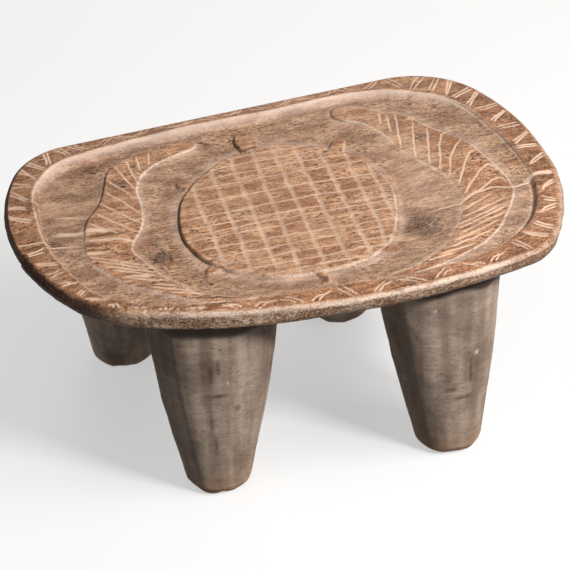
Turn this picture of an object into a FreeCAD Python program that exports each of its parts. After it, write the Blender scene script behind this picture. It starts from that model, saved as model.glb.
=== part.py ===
import FreeCAD, Part
import math
import os
import Sketcher

# Low carved stool: a dished seat with raised figures on four splayed legs.
# Millimetres. X runs along the seat to the right, Y to the back, Z up.
# The origin lies on the floor under the middle of the seat.

os.makedirs("parts", exist_ok=True)
doc = FreeCAD.newDocument("stool")
sheet = doc.addObject("Spreadsheet::Sheet", "dims")

# Named sizes
sizes = [
    ("overall_height", 222, "floor to the crest of the rim"),
    ("seat_length", 493, "left end to right end"),
    ("seat_width", 326, "front edge to back edge"),
    ("seat_thickness", 22, "underside to the crest of the rim"),
    ("rim_end_width", 29, "outer edge to the sunk field at both ends"),
    ("rim_front_width", 19, "outer edge to the sunk field along the front"),
    ("rim_back_width", 16.5, "outer edge to the sunk field along the back"),
    ("crest_width", 2, "level crest at the inner edge of the rim where the rim is narrowest"),
    ("rim_drop", 3.5, "fall of the rim band towards the outer edge"),
    ("rim_edge_round", 2.5, "round on the outer upper edge"),
    ("underside_round", 10, "round on the lower edge"),
    ("field_depth", 7.5, "crest of the rim down to the sunk field"),
    ("field_wall_lean", 25, "lean of the wall round the field, degrees"),
    ("back_left_inset_x", 78.5, "left end to the middle of the back left corner"),
    ("back_left_inset_y", 89, "back edge to the middle of the back left corner"),
    ("back_left_round", 66, "radius of the back left corner"),
    ("back_right_inset_x", 103, "right end to the middle of the back right corner"),
    ("back_right_round", 84, "radius of the back right corner"),
    ("front_right_inset_x", 72.5, "right end to the middle of the front right corner"),
    ("front_right_inset_y", 67.5, "front edge to the middle of that corner"),
    ("front_right_round", 49, "radius of the front right corner"),
    ("front_left_inset_x", 106.5, "left end to the middle of the front left corner"),
    ("front_left_inset_y", 120.4, "front edge to the middle of that corner"),
    ("front_left_round", 88, "radius of the front left corner"),
    ("back_left_field_ease", 8, "how much rounder the field is in that corner than the rim"),
    ("back_right_field_ease", 20, "the same in the back right corner"),
    ("front_right_field_ease", 24, "the same in the front right corner"),
    ("front_left_field_ease", 4, "the same in the front left corner"),
    ("shell_offset_x", 1, "seat middle to the shell, to the left"),
    ("shell_offset_y", 15, "seat middle to the shell, to the front"),
    ("shell_radius", 98, "radius of the tortoise shell"),
    ("shell_rise", 4.5, "height of the shell above the field"),
    ("limb_rise", 3.5, "height of head, feet and tail above the field"),
    ("head_offset_x", 9.5, "middle of the shell to the head, to the left"),
    ("head_length", 27, "head beyond the shell"),
    ("head_width", 20, "width of the head"),
    ("tail_length", 14, "tail beyond the shell"),
    ("tail_width", 14, "width of the tail at the shell"),
    ("paw_radius", 8, "radius of each paw"),
    ("paw_reach", 3, "middle of each paw beyond the shell"),
    ("crescent_rise", 4, "height of the crescents above the field"),
    ("right_head_x", 158.5, "right end of the seat to the right crescent's head"),
    ("right_head_y", 127, "seat middle to the right crescent's head, to the back"),
    ("right_neck_x", 171.5, "right end of the seat to the right crescent's chin"),
    ("right_neck_y", 110, "seat middle to the right crescent's chin, to the back"),
    ("right_crown_inset", 92.5, "right end of the seat to the right crescent's shoulder"),
    ("right_crown_y", 71, "seat middle to that shoulder, to the back"),
    ("right_throat_width", 40, "width of the right crescent at its shoulder"),
    ("right_throat_y", 64, "seat middle to the throat, to the back"),
    ("right_bulge_inset", 46.5, "right end of the seat to the right crescent's widest point"),
    ("right_bulge_y", 42, "seat middle to that point, to the front"),
    ("right_body_width", 45, "width of the right crescent there"),
    ("right_tail_x", 184.5, "right end of the seat to the right crescent's tail"),
    ("right_tail_y", 140, "seat middle to the right crescent's tail, to the front"),
    ("right_outer_head_radius", 230, "outer side of the right crescent, head"),
    ("right_outer_body_radius", 300, "outer side of the right crescent, body"),
    ("right_outer_tail_radius", 135, "outer side of the right crescent, tail"),
    ("right_inner_head_radius", 75, "inner side of the right crescent, head"),
    ("right_inner_body_radius", 900, "inner side of the right crescent, body"),
    ("right_inner_tail_radius", 134, "inner side of the right crescent, tail"),
    ("left_head_x", 194.5, "left end of the seat to the left crescent's head"),
    ("left_head_y", 111, "seat middle to the left crescent's head, to the back"),
    ("left_neck_x", 188.5, "left end of the seat to the left crescent's chin"),
    ("left_neck_y", 100, "seat middle to the left crescent's chin, to the back"),
    ("left_crown_inset", 100.5, "left end of the seat to the left crescent's shoulder"),
    ("left_crown_y", 78, "seat middle to that shoulder, to the back"),
    ("left_throat_width", 22, "width of the left crescent at its shoulder"),
    ("left_throat_y", 25, "seat middle to the throat, to the back"),
    ("left_bulge_inset", 62.5, "left end of the seat to the left crescent's widest point"),
    ("left_bulge_y", 38, "seat middle to that point, to the front"),
    ("left_body_width", 39, "width of the left crescent there"),
    ("left_tail_x", 186.5, "left end of the seat to the left crescent's tail"),
    ("left_tail_y", 135, "seat middle to the left crescent's tail, to the front"),
    ("left_outer_head_radius", 88, "outer side of the left crescent, head"),
    ("left_outer_body_radius", 480, "outer side of the left crescent, body"),
    ("left_outer_tail_radius", 145, "outer side of the left crescent, tail"),
    ("left_inner_head_radius", 63, "inner side of the left crescent, head"),
    ("left_inner_body_radius", 140, "inner side of the left crescent, body"),
    ("left_inner_tail_radius", 200, "inner side of the left crescent, tail"),
    ("tenon_radius", 22, "radius of each leg's tenon"),
    ("tenon_length", 9, "length of each tenon"),
    ("tenon_clearance", 0.2, "gap round each tenon"),
    ("socket_end_gap", 0.8, "gap over the end of each tenon"),
    ("front_left_leg_inset_x", 157.5, "left end of the seat to the middle of the leg's top"),
    ("front_left_leg_inset_y", 76.4, "front edge of the seat to the middle of the leg's top"),
    ("front_left_leg_width", 126, "width of the leg at its top"),
    ("front_right_leg_inset_x", 133.5, "right end of the seat to the middle of the leg's top"),
    ("front_right_leg_inset_y", 71, "front edge of the seat to the middle of the leg's top"),
    ("front_right_leg_width", 115, "width of the leg at its top"),
    ("rear_left_leg_inset_x", 112.5, "left end of the seat to the middle of the leg's top"),
    ("rear_left_leg_inset_y", 81, "back edge of the seat to the middle of the leg's top"),
    ("rear_left_leg_width", 118, "width of the leg at its top"),
    ("rear_right_leg_inset_x", 177.5, "right end of the seat to the middle of the leg's top"),
    ("rear_right_leg_inset_y", 74, "back edge of the seat to the middle of the leg's top"),
    ("rear_right_leg_width", 118, "width of the leg at its top"),
    ("leg_depth", 104, "depth of every leg at its top"),
    ("leg_swell", 0.53, "share of the taper reached at the swell"),
    ("leg_swell_height", 0.47, "place of the swell, as a share of the leg's length"),
    ("leg_corner", 0.42, "corner round of every leg, as a share of its width or depth"),
    ("foot_width", 62, "width of every foot"),
    ("foot_depth", 58, "depth of every foot"),
    ("foot_wear", 3, "worn lower edge of every foot, inward"),
    ("foot_wear_height", 5, "worn lower edge of every foot, upward"),
    ("splay_x", 6, "outward lean of every leg along the seat"),
    ("front_splay_y", 15, "forward lean of the front legs"),
    ("rear_splay_y", 22, "backward lean of the rear legs"),
]
sheet.set("A1", "name")
sheet.set("B1", "value")
sheet.set("C1", "meaning")
for row, (name, number, meaning) in enumerate(sizes, start=2):
    sheet.set("A%d" % row, name)
    sheet.set("B%d" % row, str(number))
    sheet.set("C%d" % row, meaning)
    sheet.setAlias("B%d" % row, name)
doc.recompute()
now = {name: float(getattr(sheet, name)) for name, number, meaning in sizes}

ORIGIN = (-1, 1)
START, END, MIDDLE = range(1, 4)


def tie(sketch, constraint, formula):
    """Add a constraint to a sketch and let the sheet set it."""
    index = sketch.addConstraint(constraint)
    sketch.setExpression("Constraints[%d]" % index, formula)


def pin(sketch, geometry, point, along, side, formula):
    """Hold one coordinate of a point at a distance from the origin.
    side is 1 for right or back, -1 for left or front."""
    ends = [geometry, point, ORIGIN[0], ORIGIN[1]]
    if side > 0:
        ends = [ORIGIN[0], ORIGIN[1], geometry, point]
    drawn = sketch.getPoint(geometry, point)
    far = abs(drawn.x) if along == "X" else abs(drawn.y)
    tie(sketch, Sketcher.Constraint("Distance" + along, *ends, far), formula)


def new_sketch(body, name, height=None, shift_x=None, shift_y=None):
    """A sketch on the body's level plane, raised and moved by formulas."""
    sketch = body.newObject("Sketcher::SketchObject", name)
    plane = [f for f in body.Origin.OriginFeatures if f.Role == "XY_Plane"][0]
    sketch.AttachmentSupport = [(plane, "")]
    sketch.MapMode = "FlatFace"
    for axis, formula in (("x", shift_x), ("y", shift_y), ("z", height)):
        if formula:
            sketch.setExpression("AttachmentOffset.Base." + axis, formula)
    return sketch


def bow(inset_one, round_one, inset_two, round_two, apart):
    """Radius of the arc that touches an end line and two corner rounds, and
    how far along that line its highest point is from corner one."""
    def reach(radius, inset, corner):
        return math.sqrt((inset - corner) * (2 * radius - corner - inset))

    low = (max(inset_one + round_one, inset_two + round_two)) / 2
    high = 1e6
    for step in range(80):
        radius = (low + high) / 2
        wide = reach(radius, inset_one, round_one) + reach(radius, inset_two, round_two)
        if wide > apart:
            high = radius
        else:
            low = radius
    return radius, reach(radius, inset_one, round_one)


def arc(middle, radius, first, last):
    """Arc from one point to another, anticlockwise."""
    circle = Part.Circle(FreeCAD.Vector(middle[0], middle[1], 0), FreeCAD.Vector(0, 0, 1), radius)
    turn = [math.atan2(p[1] - middle[1], p[0] - middle[0]) for p in (first, last)]
    if turn[1] < turn[0]:
        turn[1] += 2 * math.pi
    return Part.ArcOfCircle(circle, turn[0], turn[1])


def touch(side_middle, corner):
    """Where a side arc meets a corner round that it holds."""
    away = FreeCAD.Vector(corner[0] - side_middle[0], corner[1] - side_middle[1], 0)
    away.normalize()
    return (corner[0] + corner[2] * away.x, corner[1] + corner[2] * away.y)


def seat_outline(sketch, rim=False):
    """The seat's outline, or the line along the inner edge of its rim.
    Four corner rounds, three bowed sides and a straight back. The rim is
    widest at the ends and at the right corners."""
    half_long = now["seat_length"] / 2
    half_wide = now["seat_width"] / 2
    half_x = "dims.seat_length / 2"
    half_y = "dims.seat_width / 2"
    end, less = 0.0, ""
    if rim:
        end, less = now["rim_end_width"], " - dims.rim_end_width"
    corners, insets, formulas = {}, {}, {}
    for name, side_x, side_y in (("back_left", -1, 1), ("back_right", 1, 1),
                                 ("front_right", 1, -1), ("front_left", -1, -1)):
        inset_y = name + ("_round" if name == "back_right" else "_inset_y")
        shift, ease = 0.0, 0.0
        to_edge, inward, wider = "", "", ""
        if rim:
            along = "rim_back_width" if side_y > 0 else "rim_front_width"
            shift = end - now[along]
            ease = now[name + "_field_ease"]
            to_edge = " + dims.rim_end_width - dims." + along
            inward = " - dims." + name + "_field_ease"
            wider = " + dims." + name + "_field_ease"
        corners[name] = (side_x * (half_long - now[name + "_inset_x"] - ease),
                         side_y * (half_wide - now[inset_y] + shift - ease),
                         now[name + "_round"] - end + ease)
        insets[name] = (now[name + "_inset_x"] - end + ease, now[inset_y] - end + ease)
        formulas[name] = (side_x, half_x + " - dims." + name + "_inset_x" + inward,
                          side_y, half_y + " - dims." + inset_y + to_edge + inward,
                          "dims." + name + "_round" + less + wider)
    back_left, back_right = corners["back_left"], corners["back_right"]
    front_right, front_left = corners["front_right"], corners["front_left"]
    front_in = now["rim_front_width"] if rim else 0.0

    # First drawing of the bowed sides
    radius, down = bow(insets["back_left"][0], back_left[2], insets["front_left"][0], front_left[2],
                       back_left[1] - front_left[1])
    left = (radius + end - half_long, back_left[1] - down, radius)
    radius, down = bow(insets["back_right"][0], back_right[2], insets["front_right"][0], front_right[2],
                       back_right[1] - front_right[1])
    right = (half_long - end - radius, back_right[1] - down, radius)
    radius, along = bow(insets["front_left"][1], front_left[2], insets["front_right"][1], front_right[2],
                        front_right[0] - front_left[0])
    front = (front_left[0] + along, radius + front_in - half_wide, radius)

    # First drawing of the straight back
    gap_x = back_right[0] - back_left[0]
    gap_y = back_right[1] - back_left[1]
    tilt = math.atan2(gap_y, gap_x) + math.acos((back_left[2] - back_right[2]) / math.hypot(gap_x, gap_y))
    back_start = (back_right[0] + back_right[2] * math.cos(tilt), back_right[1] + back_right[2] * math.sin(tilt))
    back_end = (back_left[0] + back_left[2] * math.cos(tilt), back_left[1] + back_left[2] * math.sin(tilt))

    # Anticlockwise from the straight back
    line = Part.LineSegment(FreeCAD.Vector(*back_start, 0), FreeCAD.Vector(*back_end, 0))
    pieces = [
        line,
        arc(back_left, back_left[2], back_end, touch(left, back_left)),
        arc(left, left[2], touch(left, back_left), touch(left, front_left)),
        arc(front_left, front_left[2], touch(left, front_left), touch(front, front_left)),
        arc(front, front[2], touch(front, front_left), touch(front, front_right)),
        arc(front_right, front_right[2], touch(front, front_right), touch(right, front_right)),
        arc(right, right[2], touch(right, front_right), touch(right, back_right)),
        arc(back_right, back_right[2], touch(right, back_right), back_start),
    ]
    sketch.addGeometry(pieces, False)
    for k in range(8):
        sketch.addConstraint(Sketcher.Constraint("Tangent", k, END, (k + 1) % 8, START))

    # Corner rounds
    for piece, name in ((1, "back_left"), (3, "front_left"), (5, "front_right"), (7, "back_right")):
        side_x, middle_x, side_y, middle_y, rounding = formulas[name]
        pin(sketch, piece, MIDDLE, "X", side_x, middle_x)
        pin(sketch, piece, MIDDLE, "Y", side_y, middle_y)
        tie(sketch, Sketcher.Constraint("Radius", piece, corners[name][2]), rounding)

    # Lines that the two ends and the front touch
    ends = [("X", -1, half_x + less, left[0] - left[2], left[1]),
            ("X", 1, half_x + less, right[0] + right[2], right[1]),
            ("Y", -1, half_y + (" - dims.rim_front_width" if rim else ""), front[0], front[1] - front[2])]
    for (along, side, formula, x, y), bowed in zip(ends, (2, 6, 4)):
        if along == "X":
            drawn = Part.LineSegment(FreeCAD.Vector(x, -20, 0), FreeCAD.Vector(x, 20, 0))
        else:
            drawn = Part.LineSegment(FreeCAD.Vector(-20, y, 0), FreeCAD.Vector(20, y, 0))
        guide = sketch.addGeometry(drawn, True)
        upright = "Vertical" if along == "X" else "Horizontal"
        across = "Y" if along == "X" else "X"
        sketch.addConstraint(Sketcher.Constraint(upright, guide))
        pin(sketch, guide, START, along, side, formula)
        pin(sketch, guide, START, across, -1, "20")
        pin(sketch, guide, END, across, 1, "20")
        sketch.addConstraint(Sketcher.Constraint("Tangent", guide, bowed))


def pad(body, sketch, name, length, lean=None):
    made = body.newObject("PartDesign::Pad", name)
    made.Profile = sketch
    made.setExpression("Length", length)
    if lean:
        made.setExpression("TaperAngle", lean)
    doc.recompute()
    return made


def pocket(body, sketch, name, length, lean=None, upward=False):
    before = body.Shape.Volume
    made = body.newObject("PartDesign::Pocket", name)
    made.Profile = sketch
    made.setExpression("Length", length)
    made.Reversed = upward
    if lean:
        made.setExpression("TaperAngle", lean)
    doc.recompute()
    if not made.Shape.Volume < before:
        raise RuntimeError(name + " took nothing away")
    return made


def edges_at(feature, height):
    """Names of the edges that lie level at this height of the body."""
    found = []
    for k, edge in enumerate(feature.Shape.Edges, start=1):
        box = edge.BoundBox
        if abs(box.ZMin - height) < 1e-4 and abs(box.ZMax - height) < 1e-4:
            found.append("Edge%d" % k)
    return found


# Seat slab, drawn with its underside at zero
seat = doc.addObject("PartDesign::Body", "seat")
seat.Label = "seat"
doc.recompute()
slab_sketch = new_sketch(seat, "slab_outline")
seat_outline(slab_sketch)
doc.recompute()
slab = pad(seat, slab_sketch, "slab", "dims.seat_thickness")

# Rim band that falls outward, and the worn lower edge
fall = seat.newObject("PartDesign::Chamfer", "rim_fall")
fall.Base = (slab, edges_at(slab, now["seat_thickness"]))
fall.ChamferType = "Two distances"
fall.setExpression("Size", "dims.rim_drop")
fall.setExpression("Size2", "dims.rim_back_width - dims.crest_width")
doc.recompute()
edge_height = now["seat_thickness"] - now["rim_drop"]
worn = seat.newObject("PartDesign::Fillet", "rim_edge")
worn.Base = (fall, edges_at(fall, edge_height))
worn.setExpression("Radius", "dims.rim_edge_round")
doc.recompute()
under = seat.newObject("PartDesign::Fillet", "lower_edge")
under.Base = (worn, edges_at(worn, 0.0))
under.setExpression("Radius", "dims.underside_round")
doc.recompute()

# Sunk field inside the rim
field_sketch = new_sketch(seat, "field_outline", "dims.seat_thickness")
seat_outline(field_sketch, True)
doc.recompute()
field = pocket(seat, field_sketch, "field", "dims.field_depth", "-dims.field_wall_lean")

floor = "dims.seat_thickness - dims.field_depth"



def line(first, last):
    return Part.LineSegment(FreeCAD.Vector(first[0], first[1], 0), FreeCAD.Vector(last[0], last[1], 0))


def ring(middle_x, middle_y, radius):
    return Part.Circle(FreeCAD.Vector(middle_x, middle_y, 0), FreeCAD.Vector(0, 0, 1), radius)


# Tortoise: four paws, the head and the tail, then the shell over their roots
limbs_sketch = new_sketch(seat, "limbs_outline", floor, "-dims.shell_offset_x", "-dims.shell_offset_y")
shell_now = now["shell_radius"]
for degrees, side_x, side_y in ((46, 1, 1), (146, -1, 1), (222, -1, -1), (308, 1, -1)):
    out_x = math.cos(math.radians(degrees))
    out_y = math.sin(math.radians(degrees))
    far = shell_now + now["paw_reach"]
    paw = limbs_sketch.addGeometry(ring(far * out_x, far * out_y, now["paw_radius"]), False)
    reach = "(dims.shell_radius + dims.paw_reach) * %.4f"
    pin(limbs_sketch, paw, MIDDLE, "X", side_x, reach % abs(out_x))
    pin(limbs_sketch, paw, MIDDLE, "Y", side_y, reach % abs(out_y))
    tie(limbs_sketch, Sketcher.Constraint("Radius", paw, now["paw_radius"]), "dims.paw_radius")

# Head: two straight cheeks and a round brow
half_head = now["head_width"] / 2
left_x = -now["head_offset_x"] - half_head
right_x = -now["head_offset_x"] + half_head
root_y = shell_now * 0.8
brow_y = shell_now + now["head_length"] - half_head
root = limbs_sketch.addGeometry(line((left_x, root_y), (right_x, root_y)), False)
cheek = limbs_sketch.addGeometry(line((right_x, root_y), (right_x, brow_y)), False)
brow = limbs_sketch.addGeometry(arc((-now["head_offset_x"], brow_y), half_head, (right_x, brow_y), (left_x, brow_y)), False)
other = limbs_sketch.addGeometry(line((left_x, brow_y), (left_x, root_y)), False)
limbs_sketch.addConstraint(Sketcher.Constraint("Coincident", root, END, cheek, START))
limbs_sketch.addConstraint(Sketcher.Constraint("Tangent", cheek, END, brow, START))
limbs_sketch.addConstraint(Sketcher.Constraint("Tangent", brow, END, other, START))
limbs_sketch.addConstraint(Sketcher.Constraint("Coincident", other, END, root, START))
limbs_sketch.addConstraint(Sketcher.Constraint("Horizontal", root))
limbs_sketch.addConstraint(Sketcher.Constraint("Vertical", cheek))
limbs_sketch.addConstraint(Sketcher.Constraint("Vertical", other))
pin(limbs_sketch, root, START, "Y", 1, "dims.shell_radius * 0.8")
pin(limbs_sketch, brow, MIDDLE, "X", -1, "dims.head_offset_x")
pin(limbs_sketch, brow, MIDDLE, "Y", 1, "dims.shell_radius + dims.head_length - dims.head_width / 2")
tie(limbs_sketch, Sketcher.Constraint("Radius", brow, half_head), "dims.head_width / 2")

# Tail: a point that leans to the right
tail_root_y = -shell_now * 0.95
tail_tip_y = -shell_now - now["tail_length"]
half_tail = now["tail_width"] / 2
tail = limbs_sketch.addGeometry([
    line((half_tail, tail_root_y), (-half_tail, tail_root_y)),
    line((-half_tail, tail_root_y), (half_tail, tail_tip_y)),
    line((half_tail, tail_tip_y), (half_tail, tail_root_y)),
], False)
for k in range(3):
    limbs_sketch.addConstraint(Sketcher.Constraint("Coincident", tail[k], END, tail[(k + 1) % 3], START))
pin(limbs_sketch, tail[0], START, "X", 1, "dims.tail_width / 2")
pin(limbs_sketch, tail[0], START, "Y", -1, "dims.shell_radius * 0.95")
pin(limbs_sketch, tail[1], START, "X", -1, "dims.tail_width / 2")
pin(limbs_sketch, tail[1], START, "Y", -1, "dims.shell_radius * 0.95")
pin(limbs_sketch, tail[2], START, "X", 1, "dims.tail_width / 2")
pin(limbs_sketch, tail[2], START, "Y", -1, "dims.shell_radius + dims.tail_length")
doc.recompute()
limbs = pad(seat, limbs_sketch, "limbs", "dims.limb_rise")

shell_sketch = new_sketch(seat, "shell_outline", floor, "-dims.shell_offset_x", "-dims.shell_offset_y")
shell_ring = shell_sketch.addGeometry(ring(0, 0, shell_now), False)
shell_sketch.addConstraint(Sketcher.Constraint("Coincident", shell_ring, MIDDLE, *ORIGIN))
tie(shell_sketch, Sketcher.Constraint("Radius", shell_ring, shell_now), "dims.shell_radius")
doc.recompute()
shell = pad(seat, shell_sketch, "shell", "dims.shell_rise")


def curve(first, last, radius):
    """Anticlockwise arc between two points, under half a turn."""
    half = FreeCAD.Vector((last[0] - first[0]) / 2, (last[1] - first[1]) / 2, 0)
    over = math.sqrt(max(radius * radius - half.Length * half.Length, 0.01))
    side = FreeCAD.Vector(-half.y, half.x, 0)
    side.normalize()
    middle = (first[0] + half.x + side.x * over, first[1] + half.y + side.y * over)
    return arc(middle, radius, first, last)


def crescent(name, side, hollow):
    """One crescent: head at the back, widest beside the shell, tail at the
    front. side is 1 for the right one, -1 for the left one. hollow names the
    arcs that bow towards the shell instead of away from it."""
    size = "dims." + name
    half = "dims.seat_length / 2 - "
    crown_x = half + size + "_crown_inset"
    bulge_x = half + size + "_bulge_inset"
    formulas = {
        "head": (half + size + "_head_x", 1, size + "_head_y"),
        "crown": (crown_x, 1, size + "_crown_y"),
        "bulge": (bulge_x, -1, size + "_bulge_y"),
        "tail": (half + size + "_tail_x", -1, size + "_tail_y"),
        "cusp": (bulge_x + " - " + size + "_body_width", -1, size + "_bulge_y"),
        "throat": (crown_x + " - " + size + "_throat_width", 1, size + "_throat_y"),
        "neck": (half + size + "_neck_x", 1, size + "_neck_y"),
    }
    reach = now["seat_length"] / 2
    crown_now = reach - now[name + "_crown_inset"]
    bulge_now = reach - now[name + "_bulge_inset"]
    points = {
        "head": (side * (reach - now[name + "_head_x"]), now[name + "_head_y"]),
        "crown": (side * crown_now, now[name + "_crown_y"]),
        "bulge": (side * bulge_now, -now[name + "_bulge_y"]),
        "tail": (side * (reach - now[name + "_tail_x"]), -now[name + "_tail_y"]),
        "cusp": (side * (bulge_now - now[name + "_body_width"]), -now[name + "_bulge_y"]),
        "throat": (side * (crown_now - now[name + "_throat_width"]), now[name + "_throat_y"]),
        "neck": (side * (reach - now[name + "_neck_x"]), now[name + "_neck_y"]),
    }
    arcs = [("crown", "head", "outer_head"), ("bulge", "crown", "outer_body"), ("tail", "bulge", "outer_tail"),
            ("throat", "neck", "inner_head"), ("cusp", "throat", "inner_body"), ("tail", "cusp", "inner_tail")]
    sketch = new_sketch(seat, name + "_crescent_outline", floor)
    at = {}
    for k, (first, last, part) in enumerate(arcs):
        # Seen from above, an arc that bows away from the shell runs
        # anticlockwise on the right crescent and clockwise on the left one
        if (side < 0) != (part in hollow):
            first, last = last, first
        radius = part + "_radius"
        sketch.addGeometry(curve(points[first], points[last], now[name + "_" + radius]), False)
        tie(sketch, Sketcher.Constraint("Radius", k, now[name + "_" + radius]), size + "_" + radius)
        for point, end in ((first, START), (last, END)):
            at.setdefault(point, []).append((k, end))
    brow = sketch.addGeometry(line(points["head"], points["neck"]), False)
    at["head"].append((brow, START))
    at["neck"].append((brow, END))
    for point, (one, two) in at.items():
        sketch.addConstraint(Sketcher.Constraint("Coincident", *one, *two))
        along, way, across = formulas[point]
        pin(sketch, *one, "X", side, along)
        pin(sketch, *one, "Y", way, across)
    doc.recompute()
    return pad(seat, sketch, name + "_crescent", "dims.crescent_rise")


right_crescent = crescent("right", 1, ())
left_crescent = crescent("left", -1, ("inner_body",))

# Blind sockets for the four tenons
places = [("front_left", -1, -1), ("front_right", 1, -1), ("rear_left", -1, 1), ("rear_right", 1, 1)]
leg_x = "(dims.seat_length / 2 - dims.%s_leg_inset_x)"
leg_y = "(dims.seat_width / 2 - dims.%s_leg_inset_y)"
socket_sketch = new_sketch(seat, "socket_outline")
socket_now = now["tenon_radius"] + now["tenon_clearance"]
for place, side_x, side_y in places:
    x = side_x * (now["seat_length"] / 2 - now[place + "_leg_inset_x"])
    y = side_y * (now["seat_width"] / 2 - now[place + "_leg_inset_y"])
    hole = socket_sketch.addGeometry(ring(x, y, socket_now), False)
    pin(socket_sketch, hole, MIDDLE, "X", side_x, leg_x % place)
    pin(socket_sketch, hole, MIDDLE, "Y", side_y, leg_y % place)
    tie(socket_sketch, Sketcher.Constraint("Radius", hole, socket_now), "dims.tenon_radius + dims.tenon_clearance")
doc.recompute()
sockets = pocket(seat, socket_sketch, "sockets", "dims.tenon_length + dims.socket_end_gap", upward=True)
leg_length = "(dims.overall_height - dims.seat_thickness)"
seat.setExpression("Placement.Base.z", leg_length)
doc.recompute()


def leg_section(body, name, width, depth, height, shift_x, shift_y):
    """A level section of a leg: a rectangle with well rounded corners."""
    sketch = new_sketch(body, name, height, shift_x, shift_y)
    across, deep, corner = 30.0, 28.0, 12.0
    inner_x, inner_y = across - corner, deep - corner
    sketch.addGeometry([
        line((-inner_x, -deep), (inner_x, -deep)),
        arc((inner_x, -inner_y), corner, (inner_x, -deep), (across, -inner_y)),
        line((across, -inner_y), (across, inner_y)),
        arc((inner_x, inner_y), corner, (across, inner_y), (inner_x, deep)),
        line((inner_x, deep), (-inner_x, deep)),
        arc((-inner_x, inner_y), corner, (-inner_x, deep), (-across, inner_y)),
        line((-across, inner_y), (-across, -inner_y)),
        arc((-inner_x, -inner_y), corner, (-across, -inner_y), (-inner_x, -deep)),
    ], False)
    for k in range(8):
        sketch.addConstraint(Sketcher.Constraint("Tangent", k, END, (k + 1) % 8, START))
    for k, upright in ((0, "Horizontal"), (2, "Vertical"), (4, "Horizontal"), (6, "Vertical")):
        sketch.addConstraint(Sketcher.Constraint(upright, k))
    for k in (3, 5, 7):
        sketch.addConstraint(Sketcher.Constraint("Equal", 1, k))
    tie(sketch, Sketcher.Constraint("Radius", 1, corner), "dims.leg_corner * min(%s; %s)" % (width, depth))
    pin(sketch, 2, START, "X", 1, "(%s) / 2" % width)
    pin(sketch, 6, START, "X", -1, "(%s) / 2" % width)
    pin(sketch, 4, START, "Y", 1, "(%s) / 2" % depth)
    pin(sketch, 0, START, "Y", -1, "(%s) / 2" % depth)
    doc.recompute()
    return sketch


def leg(place, side_x, side_y):
    """One leg with its tenon, drawn round the middle of its top."""
    body = doc.addObject("PartDesign::Body", "leg_" + place)
    body.Label = "leg_" + place
    doc.recompute()
    width = "dims." + place + "_leg_width"
    depth = "dims.leg_depth"
    lean_x = "%d * dims.splay_x" % side_x
    lean_y = "%d * dims.%s_splay_y" % (side_y, place.split("_")[0])
    sole = leg_section(body, place + "_sole", "(dims.foot_width - 2 * dims.foot_wear)",
                       "(dims.foot_depth - 2 * dims.foot_wear)", None, lean_x, lean_y)
    foot = leg_section(body, place + "_foot", "dims.foot_width", "dims.foot_depth",
                       "dims.foot_wear_height", lean_x, lean_y)
    swell = "(dims.foot_%s + (%s - dims.foot_%s) * dims.leg_swell)"
    rest = " * (1 - dims.leg_swell_height)"
    middle = leg_section(body, place + "_swell", swell % ("width", width, "width"),
                         swell % ("depth", depth, "depth"),
                         leg_length + " * dims.leg_swell_height", lean_x + rest, lean_y + rest)
    top = leg_section(body, place + "_top", width, depth, leg_length, None, None)
    worn_edge = body.newObject("PartDesign::AdditiveLoft", place + "_worn_edge")
    worn_edge.Profile = sole
    worn_edge.Sections = [foot]
    worn_edge.Ruled = True
    doc.recompute()
    shaft = body.newObject("PartDesign::AdditiveLoft", place + "_shaft")
    shaft.Profile = foot
    shaft.Sections = [middle, top]
    shaft.Ruled = False
    doc.recompute()
    tenon_sketch = new_sketch(body, place + "_tenon_outline", leg_length)
    tenon_ring = tenon_sketch.addGeometry(ring(0, 0, now["tenon_radius"]), False)
    tenon_sketch.addConstraint(Sketcher.Constraint("Coincident", tenon_ring, MIDDLE, *ORIGIN))
    tie(tenon_sketch, Sketcher.Constraint("Radius", tenon_ring, now["tenon_radius"]), "dims.tenon_radius")
    doc.recompute()
    pad(body, tenon_sketch, place + "_tenon", "dims.tenon_length")
    body.setExpression("Placement.Base.x", "%d * " % side_x + leg_x % place)
    body.setExpression("Placement.Base.y", "%d * " % side_y + leg_y % place)
    doc.recompute()
    return body


pieces = [seat] + [leg(*place) for place in places]
doc.recompute()

# Every feature must have built before anything is written
for thing in doc.Objects:
    if "Invalid" in thing.State or "Error" in thing.State:
        raise RuntimeError("%s did not build" % thing.Label)
for piece in pieces:
    if piece.Shape.isNull() or not piece.Shape.isValid():
        raise RuntimeError("%s has no sound shape" % piece.Label)
    if len(piece.Shape.Solids) != 1:
        raise RuntimeError("%s is not one solid" % piece.Label)
    piece.Shape.exportStep("parts/%s.step" % piece.Label)
    print(piece.Label, round(piece.Shape.Volume), piece.Shape.optimalBoundingBox(False))
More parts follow.
